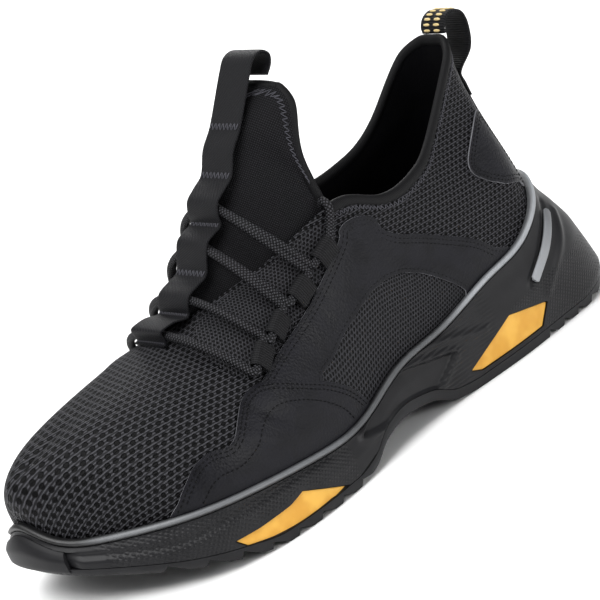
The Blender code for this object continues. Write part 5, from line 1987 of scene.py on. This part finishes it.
def make_midsole_unit():
    bm, level, _, points, ways, view = wall_sheet()
    signed = np.maximum(*[polygon_distance(view, insert_loop(p)) for p in INSERTS])
    signed = np.where(np.abs(points[:, 0] - SHIFT.x) > POCKET_FROM_CENTRE, signed, FAR_OUTSIDE)
    relief, framed = wall_relief(view)
    relief = relief * np.clip((-signed - 0.6) / 1.2, 0, 1)
    fade = np.clip(np.minimum(level, 1 - level) * 14, 0, 1)
    points = points + ways * (relief * fade * MM)[:, None]
    along = view[:, 0] * MM / LENGTH
    reach = np.interp(along, *zip(*HATCH_TOP)) - view[:, 1]
    hatched = np.maximum(np.minimum(along - HATCH_FORE[0], HATCH_FORE[1] - along), HATCH_HEEL - along)
    hatch = np.clip(hatched / 0.012, 0, 1) * np.clip(reach / 2, 0, 1)
    ribs = np.clip(np.minimum(along - RIBS_SPAN[0], RIBS_SPAN[1] - along) / 0.02, 0, 1) * (1 - framed)
    clear = np.clip(-signed - 0.8, 0, 1)
    place(bm, points)
    hatch_layer, _, edge_layer = (
        new_layer(bm, name, values)
        for name, values in (("hatch", hatch * clear), ("ribs", ribs * clear), ("edge", signed))
    )
    split(bm, edge_layer)
    bmesh.ops.remove_doubles(bm, verts=bm.verts, dist=0.004 * MM)
    pockets = [f for f in bm.faces if sum(v[edge_layer] for v in f.verts) > 0]
    for vert in {v for f in extrude_in(bm, pockets) for v in f.verts}:
        vert.co.x -= math.copysign(INSERT_DEPTH - GAP, vert.co.x)
        vert[hatch_layer] = 0.0
    open_edges = [(e, e.verts[0].co) for e in bm.edges if e.is_boundary]
    top = [e for e, co in open_edges if co.z > ground(to_along(co.y)) + 9 * MM]
    shelf = extrude_edges(bm, top)
    lines = tree_of([feather_point(s, d) for s, d in loop_sections(40)])
    for vert in shelf[0]:
        near = lines.find(vert.co)[0]
        vert.co = Vector((near.x, near.y, vert.co.z)) + (vert.co - near).xy.to_3d().normalized() * GAP
    for vert in extrude_edges(bm, [e for e in shelf[1] if e.is_boundary])[0]:
        vert.co.z = footbed(to_along(vert.co.y))
    fill_holes(bm)
    finish_piece("midsole_unit", bm, [FOAM], "midsole_foam", ["midsole"], merge=0, smooth=38.0)


def extrude_edges(bm, edges):
    """New vertices and edges from a line of edges."""
    made = bmesh.ops.extrude_edge_only(bm, edges=edges)["geom"]
    return [[g for g in made if isinstance(g, kind)] for kind in (bmesh.types.BMVert, bmesh.types.BMEdge)]


def extrude_in(bm, faces):
    """Doubles a pocket's floor, with walls between the old place and the new."""
    made = bmesh.ops.extrude_face_region(bm, geom=faces)["geom"]
    bmesh.ops.delete(bm, geom=faces, context="FACES_ONLY")
    return [g for g in made if isinstance(g, bmesh.types.BMFace)]


make_midsole_unit()

# %% [markdown]
# The gold inserts are cut the same way as their pockets, a little smaller, and sit a little below the
# wall's face.

# %% Inserts


def make_insert(where, side, side_name):
    bm, _, sides, points, ways, view = wall_sheet()
    signed = polygon_distance(view, insert_loop(where, 0.35))
    here = (sides == side) & (np.abs(points[:, 0] - SHIFT.x) > POCKET_FROM_CENTRE)
    signed = np.where(here, signed, FAR_OUTSIDE)
    place(bm, points - ways * (INSERT_RECESS + 0.1 * MM))
    cut(bm, signed, far=-2.5)
    bm.normal_update()
    if sum((f.normal.x * side for f in bm.faces)) < 0:
        bmesh.ops.reverse_faces(bm, faces=bm.faces)
    name = "insert_" + where + "_" + side_name
    piece = finish_piece("gold_" + name, bm, [GOLD], "insert_gold", [name], 0, recalc=False, smooth=40.0)
    wall(piece, 2.4 * MM, -1.0)
    soften(piece, 0.3 * MM)


for place_name in INSERTS:
    for side, side_name in SIDES:
        make_insert(place_name, side, side_name)

# %% [markdown]
# The outsole is rubber. Its wall is the lowest band of the sole's form. A bumper wraps the toe, and
# wedges cut between the lugs leave a sawtooth edge. The cutters are joined and cut away with Booleans.

# %% Outsole
OUTSOLE_STEPS = 10
BUMPER_START = 11.9


def ring_body(name, rings):
    """A closed body through rings of points, laid on a grid and filled at both ends."""
    bm, _, _ = ring_grid(rings)
    bmesh.ops.remove_doubles(bm, verts=bm.verts, dist=0.001 * MM)
    fill_holes(bm)
    bmesh.ops.triangulate(bm, faces=[f for f in bm.faces if len(f.verts) > 4], ngon_method="BEAUTY")
    bmesh.ops.recalc_face_normals(bm, faces=bm.faces)
    return object_from(name, bm)


def wedge(bm, shape, reach):
    """A bar across the shoe with the given (y, z) shape."""
    face = bm.faces.new([bm.verts.new((-reach, y, z)) for y, z in shape])
    made = bmesh.ops.extrude_face_region(bm, geom=[face])["geom"]
    moved = [g for g in made if isinstance(g, bmesh.types.BMVert)]
    bmesh.ops.translate(bm, verts=moved, vec=ACROSS * 2 * reach)


def lug_wedges(parity):
    bm = bmesh.new()
    for first, last, pitch, flat in LUG_ROWS:
        for i in range(parity, int((last - first) * LENGTH / pitch + 0.5), 2):
            tip = first + i * pitch / LENGTH
            riser = tip - LUG_RISER / LENGTH
            start = tip - (pitch - flat) / LENGTH
            corners = ((tip, -LUG_DEPTH), (tip, 0.0), (riser, LUG_DEPTH), (start, 0.0), (start, -LUG_DEPTH))
            wedge(bm, [(to_y(along), ground(along) + rise) for along, rise in corners], BALL_WIDTH)
    bmesh.ops.recalc_face_normals(bm, faces=bm.faces)
    return object_from("wedges", bm)


def bumper_body():
    rows = 12
    rings = []
    columns = [(s, d) for s, d in loop_sections(OUTSOLE_STEPS) if s >= BUMPER_START]
    for section, side in columns:
        low = wall_share(section, side, LUG_DEPTH)
        high = depth_share(section, side, BUMPER_DROP)
        inner = monotone(BUMPER_SET_BACK, section) * (BUMPER_THICKNESS + GAP) - GAP
        shares = [low + (high - low) * i / rows for i in range(rows + 1)]
        swell = [BUMPER_STEP * (1.0 if 0 < i < rows else 0.35) for i in range(rows + 1)]
        ring = [wall_point(section, side, v, w) for v, w in zip(shares, swell)]
        rings.append(ring + [wall_point(section, side, v, -inner) for v in reversed(shares)])
    return ring_body("bumper", rings)


def apply_boolean(obj, cutter, operation):
    made = obj.modifiers.new(operation.title(), "BOOLEAN")
    made.operation = operation
    made.solver = "EXACT"
    made.object = cutter
    bpy.context.view_layer.update()
    graph = bpy.context.evaluated_depsgraph_get()
    mesh = bpy.data.meshes.new_from_object(obj.evaluated_get(graph))
    obj.modifiers.clear()
    obj.data = mesh
    bpy.data.objects.remove(cutter)


def make_outsole_unit():
    height = LUG_DEPTH + WEB_THICKNESS
    rings = []
    for level in (0.0, height / 3, height * 2 / 3, height):
        rings.append([wall_point(s, d, wall_share(s, d, level)) for s, d in loop_sections(OUTSOLE_STEPS)])
    body = ring_body("outsole body", rings)
    apply_boolean(body, bumper_body(), "UNION")
    for parity in (0, 1):
        apply_boolean(body, lug_wedges(parity), "DIFFERENCE")
    bm = bmesh.new()
    bm.from_mesh(body.data)
    print("widest point of the outsole:", round(max(abs(v.co.x) for v in bm.verts) / MM, 1), "mm")
    bpy.data.objects.remove(body)
    facts = "outsole_rubber", ["outsole"]
    outsole = finish_piece("outsole_unit", bm, [RUBBER], *facts, merge=0, recalc=False, smooth=32.0)
    soften(outsole, 0.25 * MM)


make_outsole_unit()

# %% [markdown]
# A painted bead closes the top of the midsole all round the upper. It is left dark at the toe. Along the
# foot it is grey and at the heel shining silver, a painted highlight in its colour. A second silver bar is
# let into the wall on each side of the heel.

# %% Rim strip and heel bars
RIM_SWELL = RIM_STRIP_BEAD + 0.35 * MM
RIM_RISE = 0.3 * MM
RIM_CROWN = 0.35 * MM

# How much silver shows, by section from heel to toe, and by point across the bead. From heel to toe it is
# a painted highlight, strongest at the heel, and the toe is left bare.
RIM_SILVER_AND_HIGHLIGHT = (
    (0.0, 0.9), (4.2, 0.9), (5.0, 0.34), (7.0, 0.24), (7.8, 0.42), (11.0, 0.40), (11.7, 0.08), (13.0, 0.03),
)
RIM_PROFILE = ((0, 0.2), (1, 0.1), (3, 0.3), (5, 1.0), (8, 1.0), (10, 0.3))
# Painted highlight on the heel bars: strongest low down and fading with height, in mm.
BAR_PAINTED_HIGHLIGHT = ((26, 0.85), (34, 0.7), (50, 0.25))


def make_rim():
    run = loop_sections(26)
    rings = []
    for section, side in run:
        normal = outward(section, side)
        inner_top = feather_point(section, side) + normal * GAP
        inner_low = inner_top - UP * RIM_STRIP_HEIGHT
        outer_low = wall_point(section, side, depth_share(section, side, RIM_STRIP_HEIGHT))
        outer_low.z = inner_low.z
        outer_top = wall_point(section, side, 1.0)
        ring = [inner_low]
        for t in np.linspace(0, 1, 9):
            swell, rise = RIM_SWELL * math.sin(math.pi * t), RIM_RISE * math.sin(math.pi * t / 2)
            ring.append(outer_low.lerp(outer_top, t) + normal * swell + UP * rise)
        rings.append(ring + [outer_top.lerp(inner_top, 0.5) + UP * RIM_CROWN, inner_top])
    bm, level, at = ring_grid(rings, closed=True)
    # Painted highlight: the silver is strongest at the heel and grey along the foot, and the foam is bare at
    # the toe.
    along = np.array([monotone(RIM_SILVER_AND_HIGHLIGHT, section) for section, _ in run])
    new_layer(bm, "paint_and_highlight", along[at] * np.interp(level, *zip(*RIM_PROFILE)))
    finish_piece("silver_rim", bm, [SILVER], "rim_silver", ["rim_strip"], merge=0.001 * MM, smooth=50.0)


def wall_place(along, height, side, offset):
    """A point of the sole's wall at a place in side view."""
    low, high = 0.0, float(LAST_SECTION)
    for _ in range(24):
        section = (low + high) / 2
        share = wall_share(section, side, height - ground(value("tread_along", section)))
        point = wall_point(section, side, share, offset)
        low, high = (section, high) if point.y > to_y(along) else (low, section)
    return point


def make_heel_bar(side, side_name):
    corners = [Vector((0.0, to_y(along), height * SOLE_HEIGHT)) for along, height in HEEL_BAR]
    line = curve_through(corners, 0.8 * MM)
    offset = GAP + BAR_THICKNESS / 2
    path = [wall_place(to_along(p.y), p.z, side, offset) for p in line]
    sides, ups = [], []
    for i, point in enumerate(path):
        along = to_along(point.y)
        above, below = (wall_place(along, point.z + step, side, offset) for step in (BAR_WIDTH, -BAR_WIDTH))
        ahead = wall_place(along + BAR_WIDTH / LENGTH, point.z, side, offset) - point
        normal = (above - below).cross(ahead)
        sides.append(normal.cross(span_at(path, i)).normalized())
        ups.append(sides[-1].cross(span_at(path, i)).normalized())
    half_width = BAR_WIDTH / 2 * ends_fade(len(path), 0.55, 2)
    # The silver fades up the bar, a painted highlight.
    sweep_grid(
        "silver_bar_" + side_name, path, sides, ups, half_width, BAR_THICKNESS / 2, SILVER, "rim_silver",
        ["heel_bar_" + side_name], turns=20, square=0.5,
        paint_and_highlight=np.interp([p.z / MM for p in path], *zip(*BAR_PAINTED_HIGHLIGHT)),
    )


make_rim()
for side, side_name in SIDES:
    make_heel_bar(side, side_name)

# %% [markdown]
# At the back a webbing loop stands over the collar for pulling the shoe on. Two columns of pale gold
# thread run up its face. Its outer leg goes on down the heel as a flat strip, sewn to the mesh.

# %% Pull loop and back strip
BACK_STRIP_WIDTH = 13 * MM
BACK_STRIP_THICKNESS = 1.2 * MM
DASH_START = 1.4 * MM
DASH_END = 14 * MM
DASH_PITCH = 2.1 * MM
DASH_LENGTH = 4.6 * MM
DASH_RADIUS = 0.75 * MM
DASH_COLUMN = 0.21 * PULL_LOOP_WIDTH
GROSGRAIN_DARK = tape("ribbed black webbing", "#070708", "#19191b", 1.05, (1.0, 0.0, 0.0), 0.2 * MM)


def make_pull_strap():
    points = [Vector((0.0, to_y(along), height * COLLAR_HEIGHT)) for along, height in PULL_LOOP]
    stand_off = Vector((0.0, 2 * GAP + PULL_LOOP_THICKNESS / 2, 0.0))
    points += [upper_point(0.0, 1, share) + stand_off for share in PULL_LOOP_END]
    centre = upper_point(0.0, 1, 1.0).x
    for point in points:
        point.x = centre
    path = curve_through(points, 0.7 * MM)
    size = PULL_LOOP_WIDTH, PULL_LOOP_THICKNESS
    ups = strap("pull_strap", path, ACROSS, *size, GROSGRAIN_DARK, "webbing", "heel_pull_loop")
    bm = bmesh.new()
    lengths = run_of(path)
    face = 1 if ups[2].y < 0 else -1
    for at in np.arange(DASH_START, lengths[-1] - DASH_END, DASH_PITCH):
        i = int(np.searchsorted(lengths, at))
        out = ups[i] * face
        for column_way in (-1, 1):
            middle = path[i] + out * (PULL_LOOP_THICKNESS / 2 + 0.02 * MM) + ACROSS * column_way * DASH_COLUMN
            stitch(bm, middle - ACROSS * DASH_LENGTH / 2, middle + ACROSS * DASH_LENGTH / 2, out, DASH_RADIUS)
    finish_piece("pull_loop_gold", bm, [GOLD_THREAD], "webbing", merge=0)


def make_back_strip():
    shares = np.linspace(0.60, 0.02, 60)
    path = [skin_point(0.0, 1, v, 0.75 * MM) for v in shares]
    sides, ups = frames(path, [skin_way(0.0, 1, v) for v in shares])
    halves = BACK_STRIP_WIDTH / 2, BACK_STRIP_THICKNESS / 2
    sweep_grid("back_strip", path, sides, ups, *halves, LEATHER, "upper_mesh", turns=24, square=0.4)


make_pull_strap()
make_back_strip()

# %% [markdown]
# Inside lies a padded insole, with its edge rolled up a little against the lining.

# %% Insole
# How far in from the edge each ring of the insole lies, and how high in its thickness.
INSOLE_RINGS = (
    (0.0, 0.0), (0.0, 0.55), (0.35 * MM, 0.85), (1.2 * MM, 1.0), (4.0 * MM, 0.9), (9.0 * MM, 0.78),
)


def make_insole_pad():
    inset = UPPER_WALL + 2 * GAP
    rings = []
    for back, level in INSOLE_RINGS:
        ring = []
        for section, side in loop_sections(12):
            narrowing = min(1.0, value("feather_half", section) * 6 + 0.25)
            point = outline("feather", section, side) - outward(section, side) * (inset + back * narrowing)
            point.z = footbed(value("feather_along", section)) + GAP + (INSOLE_THICKNESS - GAP) * level
            ring.append(point)
        rings.append(ring)
    bm, _, _ = ring_grid(rings)
    bmesh.ops.remove_doubles(bm, verts=bm.verts, dist=0.001 * MM)
    fill_holes(bm)
    pad = finish_piece("insole_pad", bm, [INSOLE_CLOTH], "insole_cloth", ["insole"], merge=0)


make_insole_pad()
